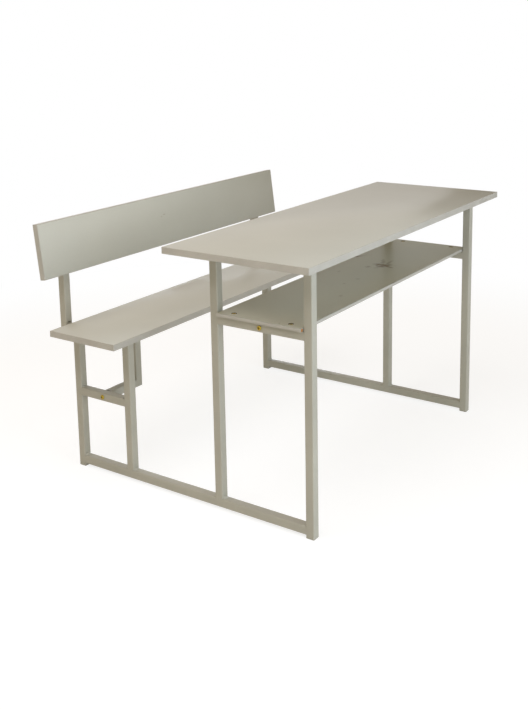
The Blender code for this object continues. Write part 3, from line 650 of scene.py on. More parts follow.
def ground_weld(bm, centre, along, across, outward, height):
    """A low swelling over a flush joint where a weld was ground down."""
    grid = []
    for row in range(GROUND_ROWS + 1):
        aside = row / GROUND_ROWS * 2 - 1
        line = []
        for column in range(GROUND_COLUMNS + 1):
            onward = column / GROUND_COLUMNS * 2 - 1
            lump = noise.noise((centre + along * onward * GROUND_WANDER_RUN) * GROUND_WANDERS_PER_METRE)
            half_width = GROUND_WIDTH / 2 * (1 + GROUND_WANDER_SHARE * lump)
            swell = max(0.0, (1 - onward ** 4) * (1 - aside * aside))
            rise = height * ((1 + GROUND_SINK_SHARE) * swell - GROUND_SINK_SHARE)
            place = centre + along * (onward * GROUND_LENGTH / 2) + across * (aside * half_width)
            line.append(bm.verts.new(place + outward * rise))
        grid.append(line)
    for lower, upper in zip(grid, grid[1:]):
        for column in range(GROUND_COLUMNS):
            bm.faces.new((lower[column], lower[column + 1], upper[column + 1], upper[column]))
    left = [line[0] for line in reversed(grid[1:-1])]
    right = [line[-1] for line in grid[1:-1]]
    rim = grid[0] + right + grid[-1][::-1] + left
    # The underside closes to a point beneath the tube's face
    below = bm.verts.new(centre - outward * height * GROUND_BELOW_SHARE)
    for first, second in zip(rim, rim[1:] + rim[:1]):
        bm.faces.new((second, first, below))


def face_of(node, face):
    """Where a tube's face lies along Y or Z, and which way it looks."""
    low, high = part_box(node)
    return {"front": (low.y, -1), "rear": (high.y, 1), "bottom": (low.z, -1), "top": (high.z, 1)}[face]


def add_side_frame_welds(side, trim):
    bm = bmesh.new()
    for upright, upright_face, level, level_face in WELDED_CORNERS:
        y, way = face_of(f"{side}_{upright}", upright_face)
        z, rise = face_of(f"{side}_{level}", level_face)
        low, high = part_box(f"{side}_{level}")
        start = Vector((low.x + BEAD_INSET, y, z))
        run = X_AXIS * (high.x - low.x - 2 * BEAD_INSET)
        leg = trim.weld_leg * (FLOOR_BEAD_SHARE if (level, level_face) == ("floor_rail", "top") else 1)
        weld_bead(bm, start, run, Y_AXIS * way, Z_AXIS * rise, leg)
    for name, end in GROUND_ENDS:
        node = f"{side}_{name}"
        low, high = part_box(node)
        centre = middle_of(node)
        if end in ("top", "bottom"):
            centre.z, _ = face_of(node, end)
            along, across = Y_AXIS, Z_AXIS
        else:
            centre.y, _ = face_of(node, end)
            along, across = Z_AXIS, Y_AXIS
        for x, way in ((low.x, -1), (high.x, 1)):
            centre.x = x
            ground_weld(bm, centre, along, across, X_AXIS * way, trim.ground_weld)
    bmesh.ops.recalc_face_normals(bm, faces=bm.faces)
    add_piece(side + "_side_frame_welds", bm, ["frame_paint"], weighted=False)


def add_bench_stretcher_welds(trim):
    bm = bmesh.new()
    beam_low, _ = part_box("bench_stretcher_beam")
    for side, sign in SIDES:
        post_low, post_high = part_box(side + "_bench_stretcher_post")
        _, arm_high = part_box(side + "_bench_stretcher_arm")
        outer, inner = (post_low.x, post_high.x) if sign < 0 else (post_high.x, post_low.x)
        run = Y_AXIS * (post_high.y - post_low.y - 2 * BEAD_INSET)
        y = post_low.y + BEAD_INSET
        weld_bead(bm, Vector((outer, y, arm_high.z)), run, X_AXIS * sign, Z_AXIS, trim.weld_leg)
        weld_bead(bm, Vector((inner, y, beam_low.z)), run, X_AXIS * -sign, -Z_AXIS, trim.weld_leg)
    bmesh.ops.recalc_face_normals(bm, faces=bm.faces)
    add_piece("bench_stretcher_welds", bm, ["frame_paint"], weighted=False)


def add_panel(node, size, face_finish, matrix, trim):
    """A board's core and laminate, with the glue line along the edges of both faces."""
    bm = bmesh.new()
    length, depth, thickness = size
    arris = trim.panel_arris
    half = thickness / 2
    layers = []
    for inset, z in ((arris, -half), (0, arris - half), (0, half - arris), (arris, half)):
        less = 2 * (EDGE_BAND + inset)
        layers.append(rounded_outline(length - less, depth - less, z))
    finishes = [face_finish, "glue_line", "board_core"]
    glue, core = 1, 2
    stack(bm, layers, wall_finishes=(glue, core, glue))
    add_piece(node + "_panel", bm, finishes, [node], matrix, weighted=False)


BAND_STEPS = 3


def band_profile(thickness, width, arris):
    """Points round an edge band: flat on the board's side, rounded along its two outer edges."""
    points = [(0, width / 2), (0, -width / 2)]
    for sign in (-1, 1):
        for step in range(BAND_STEPS + 1):
            turn = math.pi / 2 * (step / BAND_STEPS if sign > 0 else 1 - step / BAND_STEPS)
            out = thickness - arris + arris * math.cos(turn)
            up = sign * (width / 2 - arris + arris * math.sin(turn))
            points.append((out, up))
    return points


def band_strip(bm, start, run, outward, width, arris):
    """One strip of edge band, cut square, with a fine arris at each end."""
    direction = run.normalized()
    cut = arris / 2
    layers = []
    for offset, shrink in ((0, cut), (cut, 0), (run.length - cut, 0), (run.length, cut)):
        at = start + direction * offset
        profile = band_profile(EDGE_BAND - shrink, width - 2 * shrink, arris)
        layers.append([at + outward * out + Z_AXIS * up for out, up in profile])
    stack(bm, layers)


def add_edging(node, size, matrix, trim):
    """Four strips: the long ones run over the ends of the short ones."""
    bm = bmesh.new()
    length, depth, thickness = size
    short = depth - 2 * EDGE_BAND
    for way in (-1, 1):
        corner = Vector((-length / 2, way * (depth / 2 - EDGE_BAND), 0))
        band_strip(bm, corner, X_AXIS * length, Y_AXIS * way, thickness, trim.band_arris)
        corner = Vector((way * (length / 2 - EDGE_BAND), -short / 2, 0))
        band_strip(bm, corner, Y_AXIS * short, X_AXIS * way, thickness, trim.band_arris)
    bmesh.ops.recalc_face_normals(bm, faces=bm.faces)
    add_piece(node + "_edging", bm, ["edge_band"], [node + "_edge_band"], matrix)


def add_level_board(node, face_finish, trim):
    """The desktop or the seat, at its edge band's box."""
    band = node + "_edge_band"
    size = size_of(band)
    matrix = Matrix.Translation(middle_of(band))
    add_panel(node, size, face_finish, matrix, trim)
    add_edging(node, size, matrix, trim)


def backrest_frame():
    """The board's lower rear edge, the ways back and up it, and its height and thickness."""
    low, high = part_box("backrest_edge_band")
    size = high - low
    cosine, sine = math.cos(BACKREST_TILT), math.sin(BACKREST_TILT)
    # The tilted board's box is height * sine + thickness * cosine deep and the other way round high
    spread = math.cos(2 * BACKREST_TILT)
    height = (size.z * cosine - size.y * sine) / spread
    thickness = (size.y * cosine - size.z * sine) / spread
    back = Vector((0, cosine, -sine))
    up = Vector((0, sine, cosine))
    edge = Vector((0, low.y + thickness * cosine, low.z))
    return edge, back, up, height, thickness


def add_backrest(trim):
    """A board that stands on its edge and leans back."""
    edge, back, up, height, thickness = backrest_frame()
    size = (size_of("backrest_edge_band").x, height, thickness)
    turn = Euler((math.pi / 2 - BACKREST_TILT, 0, 0)).to_matrix().to_4x4()
    matrix = Matrix.Translation(edge - back * (thickness / 2) + up * (height / 2)) @ turn
    add_panel("backrest", size, "backrest_laminate", matrix, trim)
    add_edging("backrest", size, matrix, trim)


# The shelf's corners and edges
SHELF_CORNER = 0.003
SHELF_CORNER_STEPS = 4
SHELF_CORNER_LEAST = 0.0004
SHELF_ARRIS_STEPS = 4
SHELF_LOWER_ARRIS = 0.0008
SHELF_FINISHES = ["shelf_laminate", "edge_band", "board_core", "sink_core"]
# A face is raw that looks at least so much forward, and less than this up or down
RAW_FORWARD = 0.6
RAW_UPWARD = 0.5


def shelf_layers(low, high, arris):
    """Outlines from the underside up: a small rounding below and the wider one above."""
    size = high - low
    centre = (low + high) / 2
    turns = [math.pi / 2 * step / SHELF_ARRIS_STEPS for step in range(SHELF_ARRIS_STEPS + 1)]
    lower = SHELF_LOWER_ARRIS
    steps = [(lower * (1 - math.sin(turn)), low.z + lower * (1 - math.cos(turn))) for turn in turns]
    steps += [(arris * (1 - math.cos(turn)), high.z - arris * (1 - math.sin(turn))) for turn in turns]
    layers = []
    for inset, z in steps:
        radius = max(SHELF_CORNER - inset, SHELF_CORNER_LEAST)
        outline = rounded_outline(size.x - 2 * inset, size.y - 2 * inset, z, radius, SHELF_CORNER_STEPS)
        layers.append([(centre.x + x, centre.y + y, z) for x, y, z in outline])
    return layers


def add_book_shelf(trim):
    """A thin board with rounded edges, raw at the front of its two ends, and sunk round each screw."""
    bm = bmesh.new()
    low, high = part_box("book_shelf")
    layers = shelf_layers(low, high, trim.shelf_arris)
    stack(bm, layers, wall_finishes=[SHELF_FINISHES.index("edge_band")] * (len(layers) - 1))
    frame_low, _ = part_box("right_desk_front_leg")
    _, frame_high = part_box("left_desk_front_leg")
    for x, normal in ((frame_low.x, -X_AXIS), (frame_high.x, X_AXIS)):
        everything = bm.verts[:] + bm.edges[:] + bm.faces[:]
        bmesh.ops.bisect_plane(bm, geom=everything, plane_co=(x, 0, 0), plane_no=normal)
    for face in bm.faces:
        past_frame = not frame_low.x <= face.calc_center_median().x <= frame_high.x
        if past_frame and face.normal.y < -RAW_FORWARD and abs(face.normal.z) < RAW_UPWARD:
            face.material_index = SHELF_FINISHES.index("board_core")
    bm.normal_update()
    mark_edges(bm)
    mesh = with_sinks(mesh_from(bm, "book_shelf_board", SHELF_FINISHES), low, high)
    add_mesh_piece("book_shelf_board", mesh, ["book_shelf"])


# Holes sunk in the shelf for its screws
SINK_STEPS = 32
SINK_FLARE = 0.0009
SINK_FLARE_DEPTH = 0.0007
CUT_OVERRUN = 0.002


def with_sinks(mesh, low, high):
    """The shelf's mesh with a countersunk hole at each screw, lined in raw core and painted shade."""
    tool = bmesh.new()
    sink = SHELF_SCREW_SINK_RADIUS
    shank_hole = SHELF_SCREW_RADIUS + FIT_GAP
    for node in SHELF_SCREWS:
        screw_low, screw_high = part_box(node)
        centre = (screw_low + screw_high) / 2
        centre.z = 0
        head_radius = (screw_high.x - screw_low.x) / 2
        rim = screw_high.z - SHELF_SCREW_RIM
        profile = (
            (0, high.z + CUT_OVERRUN),
            (sink + SINK_FLARE, high.z + CUT_OVERRUN),
            (sink + SINK_FLARE, high.z),
            (sink, high.z - SINK_FLARE_DEPTH),
            (sink - SINK_FLARE, rim),
            (shank_hole, rim - (head_radius - SHELF_SCREW_RADIUS) - FIT_GAP),
            (shank_hole, low.z - CUT_OVERRUN),
            (0, low.z - CUT_OVERRUN),
        )
        turned(tool, profile, SINK_STEPS, centre)
    for face in tool.faces:
        face.material_index = SHELF_FINISHES.index("sink_core")
    return cut_by(mesh, tool)


def turned(bm, profile, steps, centre=Vector((0, 0, 0))):
    """A closed solid turned about Z from a profile of (radius, height) that starts and ends on the axis."""
    turns = [math.tau * step / steps for step in range(steps)]
    rings = []
    for radius, z in profile:
        points = [(0, 0, z)]
        if radius:
            points = [(radius * math.cos(turn), radius * math.sin(turn), z) for turn in turns]
        rings.append([bm.verts.new(centre + Vector(point)) for point in points])
    for upper, lower in zip(rings, rings[1:]):
        for i in range(steps):
            corners = ((upper, i), (lower, i), (lower, i + 1), (upper, i + 1))
            # A ring on the axis is one point, which a face takes once
            bm.faces.new(dict.fromkeys(ring[k % len(ring)] for ring, k in corners))


def cut_by(mesh, tool_bm):
    """The mesh with the tool's solids taken out of it; the cut faces keep the tool's finish numbers."""
    bmesh.ops.recalc_face_normals(tool_bm, faces=tool_bm.faces)
    tool = new_object("cutter", mesh_from(tool_bm, "cutter"))
    for material in mesh.materials:
        tool.data.materials.append(material)
    blank = new_object("blank", mesh)
    cut = blank.modifiers.new("cut", "BOOLEAN")
    cut.operation = "DIFFERENCE"
    cut.solver = "EXACT"
    cut.object = tool
    bpy.context.view_layer.update()
    ready = blank.evaluated_get(bpy.context.evaluated_depsgraph_get())
    result = bpy.data.meshes.new_from_object(ready)
    for each in (tool, blank):
        bpy.data.objects.remove(each)
    bm = bmesh.new()
    bm.from_mesh(result)
    bmesh.ops.remove_doubles(bm, verts=bm.verts[:], dist=MERGE_DISTANCE)
    mark_edges(bm)
    bm.to_mesh(result)
    bm.free()
    return result


HEAD_STEPS = 48
SCREW_FINISHES = ["yellow_zinc", "zinc_recess"]
# Cross recesses: arm and slot are shares of the head's radius, inner of the slot, and depth of the head's
# height; floor and flare are shares of the cross at the head's top
RECESS_ARM_SHARE = 0.62
RECESS_SLOT_SHARE = 0.17
RECESS_INNER_SHARE = 1.3
RECESS_FLOOR_SHARE = 0.45
RECESS_FLARE_SHARE = 1.12
RECESS_OVERRUN = 0.001
RECESS_DEPTH_SHARE = 0.6


def cross_recess(head_radius, top, depth):
    """A tapered cross, wide at the head's top and narrow at its floor."""
    bm = bmesh.new()
    layers = []
    widths = ((RECESS_FLOOR_SHARE, top - depth), (1.0, top), (RECESS_FLARE_SHARE, top + RECESS_OVERRUN))
    for share, z in widths:
        reach = head_radius * RECESS_ARM_SHARE * share
        slot = head_radius * RECESS_SLOT_SHARE * (1 + share) / 2
        inner = slot * RECESS_INNER_SHARE
        layer = []
        for quarter in range(4):
            turn = Matrix.Rotation(math.pi / 2 * quarter, 2)
            for corner in ((reach, -slot), (reach, slot), (inner, inner)):
                layer.append((*(turn @ Vector(corner)), z))
        layers.append(layer)
    recess = SCREW_FINISHES.index("zinc_recess")
    stack(bm, layers, wall_finishes=(recess, recess), cap_finishes=(recess, recess))
    return bm


def screw_mesh(name, profile, head_radius, top, depth):
    """A turned yellow zinc screw with painted shade in its cross recess; height 0 is where its head bears.
    """
    bm = bmesh.new()
    turned(bm, profile, HEAD_STEPS)
    bmesh.ops.recalc_face_normals(bm, faces=bm.faces)
    return cut_by(mesh_from(bm, name, SCREW_FINISHES), cross_recess(head_radius, top, depth))


# Heads and threads: the skirt is a share of the head's height, the rest are shares of the shank's radius
PAN_SKIRT_SHARE = 0.35
PAN_STEPS = 8
HEAD_EDGE = 0.0002
FLAT_HEAD_BEVEL = 0.0003
THREAD_PITCH = 0.0009
THREAD_ROOT_SHARE = 0.88
TIP_LENGTH_SHARE = 1.2
TIP_WIDTH_SHARE = 0.3


def pan_head(head_radius, head_height, radius, length):
    """From the dome's top down to the tip of the thread."""
    skirt = head_height * PAN_SKIRT_SHARE
    profile = []
    for step in range(PAN_STEPS + 1):
        turn = math.pi / 2 * step / PAN_STEPS
        profile.append((head_radius * math.sin(turn), skirt + (head_height - skirt) * math.cos(turn)))
    profile += [(head_radius, HEAD_EDGE), (head_radius - HEAD_EDGE, 0)]
    return profile + shank(radius, 0, length)


def flat_head(head_radius, rim, radius, length):
    """From the flat top down to the tip of the thread; height 0 is the top of the head."""
    cone_foot = -rim - (head_radius - radius)
    profile = [(0, 0), (head_radius - FLAT_HEAD_BEVEL, 0), (head_radius, -HEAD_EDGE), (head_radius, -rim)]
    return profile + shank(radius, cone_foot, length)


def shank(radius, top, length):
    """A thread of close grooves and a blunt tip."""
    profile = [(radius, top)]
    tip = radius * TIP_LENGTH_SHARE
    z = top - THREAD_PITCH
    while z > tip - length:
        profile += [(radius, z), (radius * THREAD_ROOT_SHARE, z - THREAD_PITCH / 2)]
        z -= THREAD_PITCH
    return profile + [(radius, tip - length), (radius * TIP_WIDTH_SHARE, -length), (0, -length)]


def leaning(mesh, turn):
    """A copy of the mesh with the turn in its own points, so that its box is exact."""
    copy = mesh.copy()
    copy.transform(turn)
    return copy


def add_screw(node, mesh, place, toward):
    """One screw at its head's seat; toward is the way its head looks."""
    turn = Z_AXIS.rotation_difference(toward).to_matrix().to_4x4()
    matrix = Matrix.Translation(place)
    add_mesh_piece(node + "_turned", leaning(mesh, turn), [node], matrix, weighted=False)


def add_straight_screw(node, mesh, toward, head_height):
    """A screw along an axis, its head's top at the end of the node's box."""
    low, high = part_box(node)
    axis = [abs(way) for way in toward].index(1)
    end = high if toward[axis] > 0 else low
    place = (low + high) / 2
    place[axis] = end[axis] - toward[axis] * head_height
    add_screw(node, mesh, place, toward)


def add_frame_bolts():
    """Each head looks out of its side frame."""
    length, width, _ = size_of("right_desk_frame_bolt")
    head_height = BOLT_HEAD_HEIGHT
    profile = pan_head(width / 2, head_height, BOLT_RADIUS, length - head_height)
    mesh = screw_mesh("frame_bolt", profile, width / 2, head_height, head_height * RECESS_DEPTH_SHARE)
    for side, sign in SIDES:
        for group in ("desk", "bench"):
            add_straight_screw(f"{side}_{group}_frame_bolt", mesh, X_AXIS * sign, head_height)


def add_shelf_screws():
    """Each flat head lies open in its sunk hole."""
    low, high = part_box(SHELF_SCREWS[0])
    head_radius = (high.x - low.x) / 2
    profile = flat_head(head_radius, SHELF_SCREW_RIM, SHELF_SCREW_RADIUS, high.z - low.z)
    mesh = screw_mesh("shelf_screw", profile, head_radius, 0, SHELF_SCREW_RECESS)
    for node in SHELF_SCREWS:
        add_straight_screw(node, mesh, Z_AXIS, 0)


def add_board_screws():
    """Heads look down under the desktop and seat rails, and backward on the uprights."""
    width, _, length = size_of("right_front_desktop_screw")
    head_height = BOARD_SCREW_HEAD_HEIGHT
    profile = pan_head(width / 2, head_height, BOARD_SCREW_RADIUS, length - head_height)
    mesh = screw_mesh("board_screw", profile, width / 2, head_height, head_height * RECESS_DEPTH_SHARE)
    edge, back, up, height, _ = backrest_frame()
    rear = edge + back * (TUBE_SIDE + FIT_GAP)
    for side, _ in SIDES:
        for row in ("front", "rear"):
            for board in ("desktop", "seat"):
                add_straight_screw(f"{side}_{row}_{board}_screw", mesh, -Z_AXIS, head_height)
        for row, rise in (("lower", BACKREST_SCREW_INSET), ("upper", height - BACKREST_SCREW_INSET)):
            node = f"{side}_{row}_backrest_screw"
            place = rear + up * rise
            place.x = middle_of(node).x
            add_screw(node, mesh, place, back)


PLUG_FLANGE = 0.003
PLUG_BOSS = 0.012
PLUG_TAPER = 0.0016
PLUG_TAPER_LENGTH = 0.001
PLUG_STEPS = 4
PLUG_CORNER_LEAST = 0.0008
# Rings of a plug's dish from its middle outward: how much narrower than the tube, and share of the depth
PLUG_DISH_RINGS = ((0.011, 1), (0.0085, 0.6), (0.007, 0))
# Rings round the plug's flange: how much narrower than the tube, and height above its face
PLUG_EDGE_RINGS = ((0.0016, 0), (0.0005, 0.0003), (0, 0.0009), (0, PLUG_FLANGE))


def plug_mesh(trim):
    """A moulded plug: dished face, rounded flange and a boss that fills the tube. Height 0 is its face."""
    boss = TUBE_SIDE - 2 * TUBE_WALL - 2 * FIT_GAP
    end = PLUG_FLANGE + PLUG_BOSS
    rings = [(TUBE_SIDE - less, trim.plug_dish * share) for less, share in PLUG_DISH_RINGS]
    rings += [(TUBE_SIDE - less, z) for less, z in PLUG_EDGE_RINGS]
    rings += [(boss, PLUG_FLANGE), (boss, end - PLUG_TAPER_LENGTH), (boss - PLUG_TAPER, end)]
    bm = bmesh.new()
    layers = []
    for width, z in rings:
        corner = max(TUBE_CORNER - (TUBE_SIDE - width) / 2, PLUG_CORNER_LEAST)
        layers.append(rounded_outline(width, width, z, corner, PLUG_STEPS))
    stack(bm, layers)
    mark_edges(bm)
    return mesh_from(bm, "plug", ["plug_plastic"])


def add_plugs(trim):
    """Foot plugs look down, and the upright plugs look up along the backrest."""
    foot_mesh = plug_mesh(trim)
    edge, back, up, height, _ = backrest_frame()
    upside_down = Euler((math.pi - BACKREST_TILT, 0, 0)).to_matrix().to_4x4()
    top_mesh = leaning(foot_mesh, upside_down)
    top = edge + back * (TUBE_SIDE / 2) + up * (height - UPRIGHT_TOP_DROP)
    for side, _ in SIDES:
        for group in ("desk", "bench"):
            node = f"{side}_{group}_foot_plug"
            low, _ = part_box(node)
            place = middle_of(node)
            place.z = low.z
            add_mesh_piece(node + "_moulded", foot_mesh, [node], Matrix.Translation(place))
        node = side + "_upright_plug"
        top.x = middle_of(node).x
        add_mesh_piece(node + "_moulded", top_mesh, [node], Matrix.Translation(top))


# Camera, fitted to the straight edges in the photograph, which is 528 by 710 pixels
CAMERA_PLACE = (-2.48117558, -1.64360014, 1.31391356)
CAMERA_TURN_DEGREES = (79.76831657, 1.01384573, -55.74910461)
CAMERA_LENS = 49.27962305
CAMERA_SHIFT = (0, -0.21830986)


def add_camera():
    data = bpy.data.cameras.new("camera")
    data.lens = CAMERA_LENS
    data.shift_x, data.shift_y = CAMERA_SHIFT
    camera = new_object("camera", data)
    camera.location = CAMERA_PLACE
    camera.rotation_euler = [math.radians(angle) for angle in CAMERA_TURN_DEGREES]
    bpy.context.scene.camera = camera


# Each lamp's place, the point it looks at, its width and height, and its colour
LAMPS = {
    "ceiling_lamp": ((-1.5, 0.0, 3.0), (-0.4, 0.0, 0.4), (2.4, 2.6), (0.95, 0.96, 1.0)),
    "front_lamp": ((-0.75, -2.95, 1.5), (-0.1, 0, 0.5), (1.6, 1.9), (0.64, 0.81, 1.0)),
    "low_lamp": ((-0.9, -2.4, 0.3), (-0.5, 0.2, 0.3), (2.0, 0.5), (0.76, 0.88, 1.0)),
    "back_lamp": ((2.3, 2.2, 0.21), (0, 0, 0.45), (2.0, 0.34), (0.82, 0.9, 1.0)),
}


def add_lamps(stage):
    """Broad lamps above the near end and before the front, and low ones before and behind the desk."""
    for name, (place, target, size, colour) in LAMPS.items():
        data = bpy.data.lights.new(name, "AREA")
        data.shape = "RECTANGLE"
        data.size, data.size_y = size
        data.energy = getattr(stage, name)
        data.color = colour
        lamp = new_object(name, data)
        lamp.location = place
        lamp.rotation_euler = (Vector(target) - Vector(place)).to_track_quat("-Z", "Y").to_euler()
        lamp.visible_camera = False


def seen_directly(tree):
    """1 for what the camera, a reflection or a clear body sees, and 0 for light that strays."""
    path = add_node(tree, "ShaderNodeLightPath")
    seen = calculated(tree, "MAXIMUM", path.outputs["Is Camera Ray"], path.outputs["Is Glossy Ray"])
    return calculated(tree, "MAXIMUM", seen, path.outputs["Is Transmission Ray"])


# The floor's colour for light that strays, and its shadowed colour and glow where it is seen near the desk;
# from the first distance to the second it fades to white
FLOOR_BOUNCE = (0.88, 0.86, 0.82)
FLOOR_SHADOW = (0.3, 0.3, 0.3)
FLOOR_GLOW = 0.79
FLOOR_FADE_START = 1.2
FLOOR_FADE_END = 2.4
FLOOR_CELLS = 8


def plain_surface(tree, colour):
    return add_node(tree, "ShaderNodeBsdfDiffuse", {"Color": (*colour, 1)}).outputs[0]


def white_glow(tree, strength):
    """Light of its own, which the camera sees as white at a strength of 1."""
    return add_node(tree, "ShaderNodeEmission", {"Color": (1, 1, 1, 1), "Strength": strength}).outputs[0]


def mixed_shaders(tree, share, first, second):
    return add_node(tree, "ShaderNodeMixShader", {0: share, 1: first, 2: second}).outputs[0]


def floor_material():
    """Pale floor: near the desk it holds its shadow, and further off it is white to the horizon."""
    material, tree, shader, place = new_material("floor")
    tree.nodes.remove(shader)
    shaded = plain_surface(tree, FLOOR_SHADOW)
    glow = white_glow(tree, FLOOR_GLOW)
    near = add_node(tree, "ShaderNodeAddShader", {0: shaded, 1: glow}).outputs[0]
    away = remapped(tree, length_of(tree, place), FLOOR_FADE_START, FLOOR_FADE_END)
    seen = mixed_shaders(tree, away, near, white_glow(tree, 1))
    floor = mixed_shaders(tree, seen_directly(tree), plain_surface(tree, FLOOR_BOUNCE), seen)
    tree.links.new(floor, tree.nodes["Material Output"].inputs["Surface"])
    return material


def add_floor(reach):
    bm = bmesh.new()
    bmesh.ops.create_grid(bm, x_segments=FLOOR_CELLS, y_segments=FLOOR_CELLS, size=reach)
    floor = new_object("floor", mesh_from(bm, "floor"))
    floor.data.materials.append(floor_material())


# The horizon's colour turns to the overhead one between these heights: 0 is level and 1 straight above
SKY_TURN_START = 0.1
SKY_TURN_END = 0.8


def add_world(horizon, overhead):
    """White where it is seen, and soft light for the rest, from one colour at the level to one above."""
    world = bpy.data.worlds.new("studio")
    world.use_nodes = True
    tree = world.node_tree
    direction = add_node(tree, "ShaderNodeTexCoord").outputs["Generated"]
    height = add_node(tree, "ShaderNodeSeparateXYZ", {0: direction}).outputs["Z"]
    soft = mixed(tree, remapped(tree, height, SKY_TURN_START, SKY_TURN_END), horizon, overhead)
    tone = mixed(tree, seen_directly(tree), soft, (1, 1, 1))
    background = tree.nodes["Background"]
    tree.links.new(tone, background.inputs["Color"])
    background.inputs["Strength"].default_value = 1
    bpy.context.scene.world = world


# A dark backdrop well behind the desk, hidden from the camera, that the far part of the desktop reflects
BACKDROP_LEFT = (2.408, 0.422)
BACKDROP_RIGHT = (2.96, -0.38)
BACKDROP_BOTTOM = 0.8
BACKDROP_TOP = 1.55
BACKDROP_COLOUR = (0.08, 0.055, 0.01)


def backdrop_material():
    material, tree, shader, place = new_material("backdrop", roughness=0.9, specular=0.0)
    weave = patches(tree, place, per_metre=300)
    coat(tree, shader, clouded(tree, weave, BACKDROP_COLOUR, low=0.9, high=1.1))
    return material


def add_backdrop():
    corners = [
        (*BACKDROP_LEFT, BACKDROP_BOTTOM),
        (*BACKDROP_RIGHT, BACKDROP_BOTTOM),
        (*BACKDROP_RIGHT, BACKDROP_TOP),
        (*BACKDROP_LEFT, BACKDROP_TOP),
    ]
    mesh = bpy.data.meshes.new("backdrop")
    mesh.from_pydata(corners, [], [(0, 1, 2, 3)])
    mesh.materials.append(backdrop_material())
    backdrop = new_object("backdrop", mesh)
    backdrop.visible_camera = False


class SCHOOL_DESK_OT_steel_tubes(bpy.types.Operator):
    """Finish every steel tube of the side frames and stretchers"""

    bl_idname = "school_desk.steel_tubes"
    bl_label = "Steel tubes"

    def execute(self, context):
        for node in painted_tubes():
            add_tube(node)
        return {"FINISHED"}


class SCHOOL_DESK_OT_welds(bpy.types.Operator):
    """Lay the weld beads in the frames' corners and the ground welds over the flush joints"""

    bl_idname = "school_desk.welds"
    bl_label = "Welds"

    def execute(self, context):
        trim = context.scene.school_desk_trim
        for side, _ in SIDES:
            add_side_frame_welds(side, trim)
        add_bench_stretcher_welds(trim)
        return {"FINISHED"}


class SCHOOL_DESK_OT_desktop(bpy.types.Operator):
    """Build the laminated desktop and its edging"""

    bl_idname = "school_desk.desktop"
    bl_label = "Desktop"

    def execute(self, context):
        add_level_board("desktop", "laminate", context.scene.school_desk_trim)
        return {"FINISHED"}


class SCHOOL_DESK_OT_seat(bpy.types.Operator):
    """Build the laminated bench seat and its edging"""

    bl_idname = "school_desk.seat"
    bl_label = "Seat"

    def execute(self, context):
        add_level_board("seat", "seat_laminate", context.scene.school_desk_trim)
        return {"FINISHED"}


class SCHOOL_DESK_OT_backrest(bpy.types.Operator):
    """Build the tilted backrest and its edging"""

    bl_idname = "school_desk.backrest"
    bl_label = "Backrest"

    def execute(self, context):
        add_backrest(context.scene.school_desk_trim)
        return {"FINISHED"}


class SCHOOL_DESK_OT_book_shelf(bpy.types.Operator):
    """Build the book shelf with its rounded edges, raw ends and sunk screw holes"""

    bl_idname = "school_desk.book_shelf"
    bl_label = "Book shelf"

    def execute(self, context):
        add_book_shelf(context.scene.school_desk_trim)
        return {"FINISHED"}


class SCHOOL_DESK_OT_fasteners(bpy.types.Operator):
    """Turn the frame bolts, the shelf screws and the board screws"""

    bl_idname = "school_desk.fasteners"
    bl_label = "Bolts and screws"

    def execute(self, context):
        add_frame_bolts()
        add_shelf_screws()
        add_board_screws()
        return {"FINISHED"}


class SCHOOL_DESK_OT_plugs(bpy.types.Operator):
    """Mould the plugs in the feet and the tops of the uprights"""

    bl_idname = "school_desk.plugs"
    bl_label = "Plugs"

    def execute(self, context):
        add_plugs(context.scene.school_desk_trim)
        return {"FINISHED"}


class SCHOOL_DESK_OT_stage(bpy.types.Operator):
    """Set the floor, the light and the camera"""

    bl_idname = "school_desk.stage"
    bl_label = "Stage"

    def execute(self, context):
        stage = context.scene.school_desk_stage
        add_camera()
        add_floor(stage.floor_reach)
        add_backdrop()
        add_world(stage.horizon, stage.overhead)
        add_lamps(stage)
        context.scene.view_settings.view_transform = "Standard"
        return {"FINISHED"}


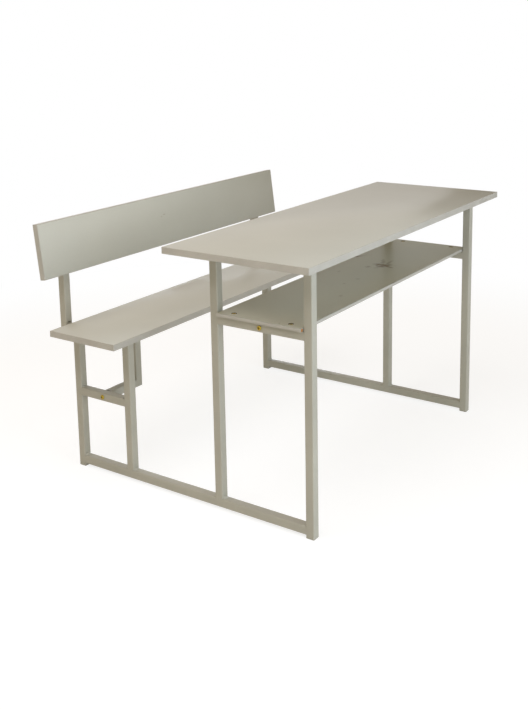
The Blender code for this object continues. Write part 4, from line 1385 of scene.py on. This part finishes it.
OPERATORS = (
    SCHOOL_DESK_OT_steel_tubes,
    SCHOOL_DESK_OT_welds,
    SCHOOL_DESK_OT_desktop,
    SCHOOL_DESK_OT_seat,
    SCHOOL_DESK_OT_backrest,
    SCHOOL_DESK_OT_book_shelf,
    SCHOOL_DESK_OT_fasteners,
    SCHOOL_DESK_OT_plugs,
    SCHOOL_DESK_OT_stage,
)


class SCHOOL_DESK_PT_pieces(bpy.types.Panel):
    """The desk's pieces and the settings that they are built from"""

    bl_idname = "SCHOOL_DESK_PT_pieces"
    bl_label = "School desk"
    bl_space_type = "VIEW_3D"
    bl_region_type = "UI"
    bl_category = "School desk"

    def draw(self, context):
        scene = context.scene
        for title, group in (
            ("Finishes", scene.school_desk_finishes),
            ("Trim", scene.school_desk_trim),
            ("Stage", scene.school_desk_stage),
        ):
            box = self.layout.box()
            box.label(text=title)
            for name in group.__annotations__:
                box.prop(group, name)
        for operator in OPERATORS:
            self.layout.operator(operator.bl_idname)


PROPERTY_GROUPS = (
    ("school_desk_finishes", SchoolDeskFinishes),
    ("school_desk_trim", SchoolDeskTrim),
    ("school_desk_stage", SchoolDeskStage),
)


def register():
    for name, group in PROPERTY_GROUPS:
        bpy.utils.register_class(group)
        setattr(bpy.types.Scene, name, bpy.props.PointerProperty(type=group))
    for operator in OPERATORS:
        bpy.utils.register_class(operator)
    bpy.utils.register_class(SCHOOL_DESK_PT_pieces)


def unregister():
    bpy.utils.unregister_class(SCHOOL_DESK_PT_pieces)
    for operator in reversed(OPERATORS):
        bpy.utils.unregister_class(operator)
    for name, group in reversed(PROPERTY_GROUPS):
        delattr(bpy.types.Scene, name)
        bpy.utils.unregister_class(group)


def main():
    register()
    bpy.ops.school_desk.steel_tubes()
    bpy.ops.school_desk.welds()
    bpy.ops.school_desk.desktop()
    bpy.ops.school_desk.seat()
    bpy.ops.school_desk.backrest()
    bpy.ops.school_desk.book_shelf()
    bpy.ops.school_desk.fasteners()
    bpy.ops.school_desk.plugs()
    bpy.ops.school_desk.stage()


if __name__ == "__main__":
    main()
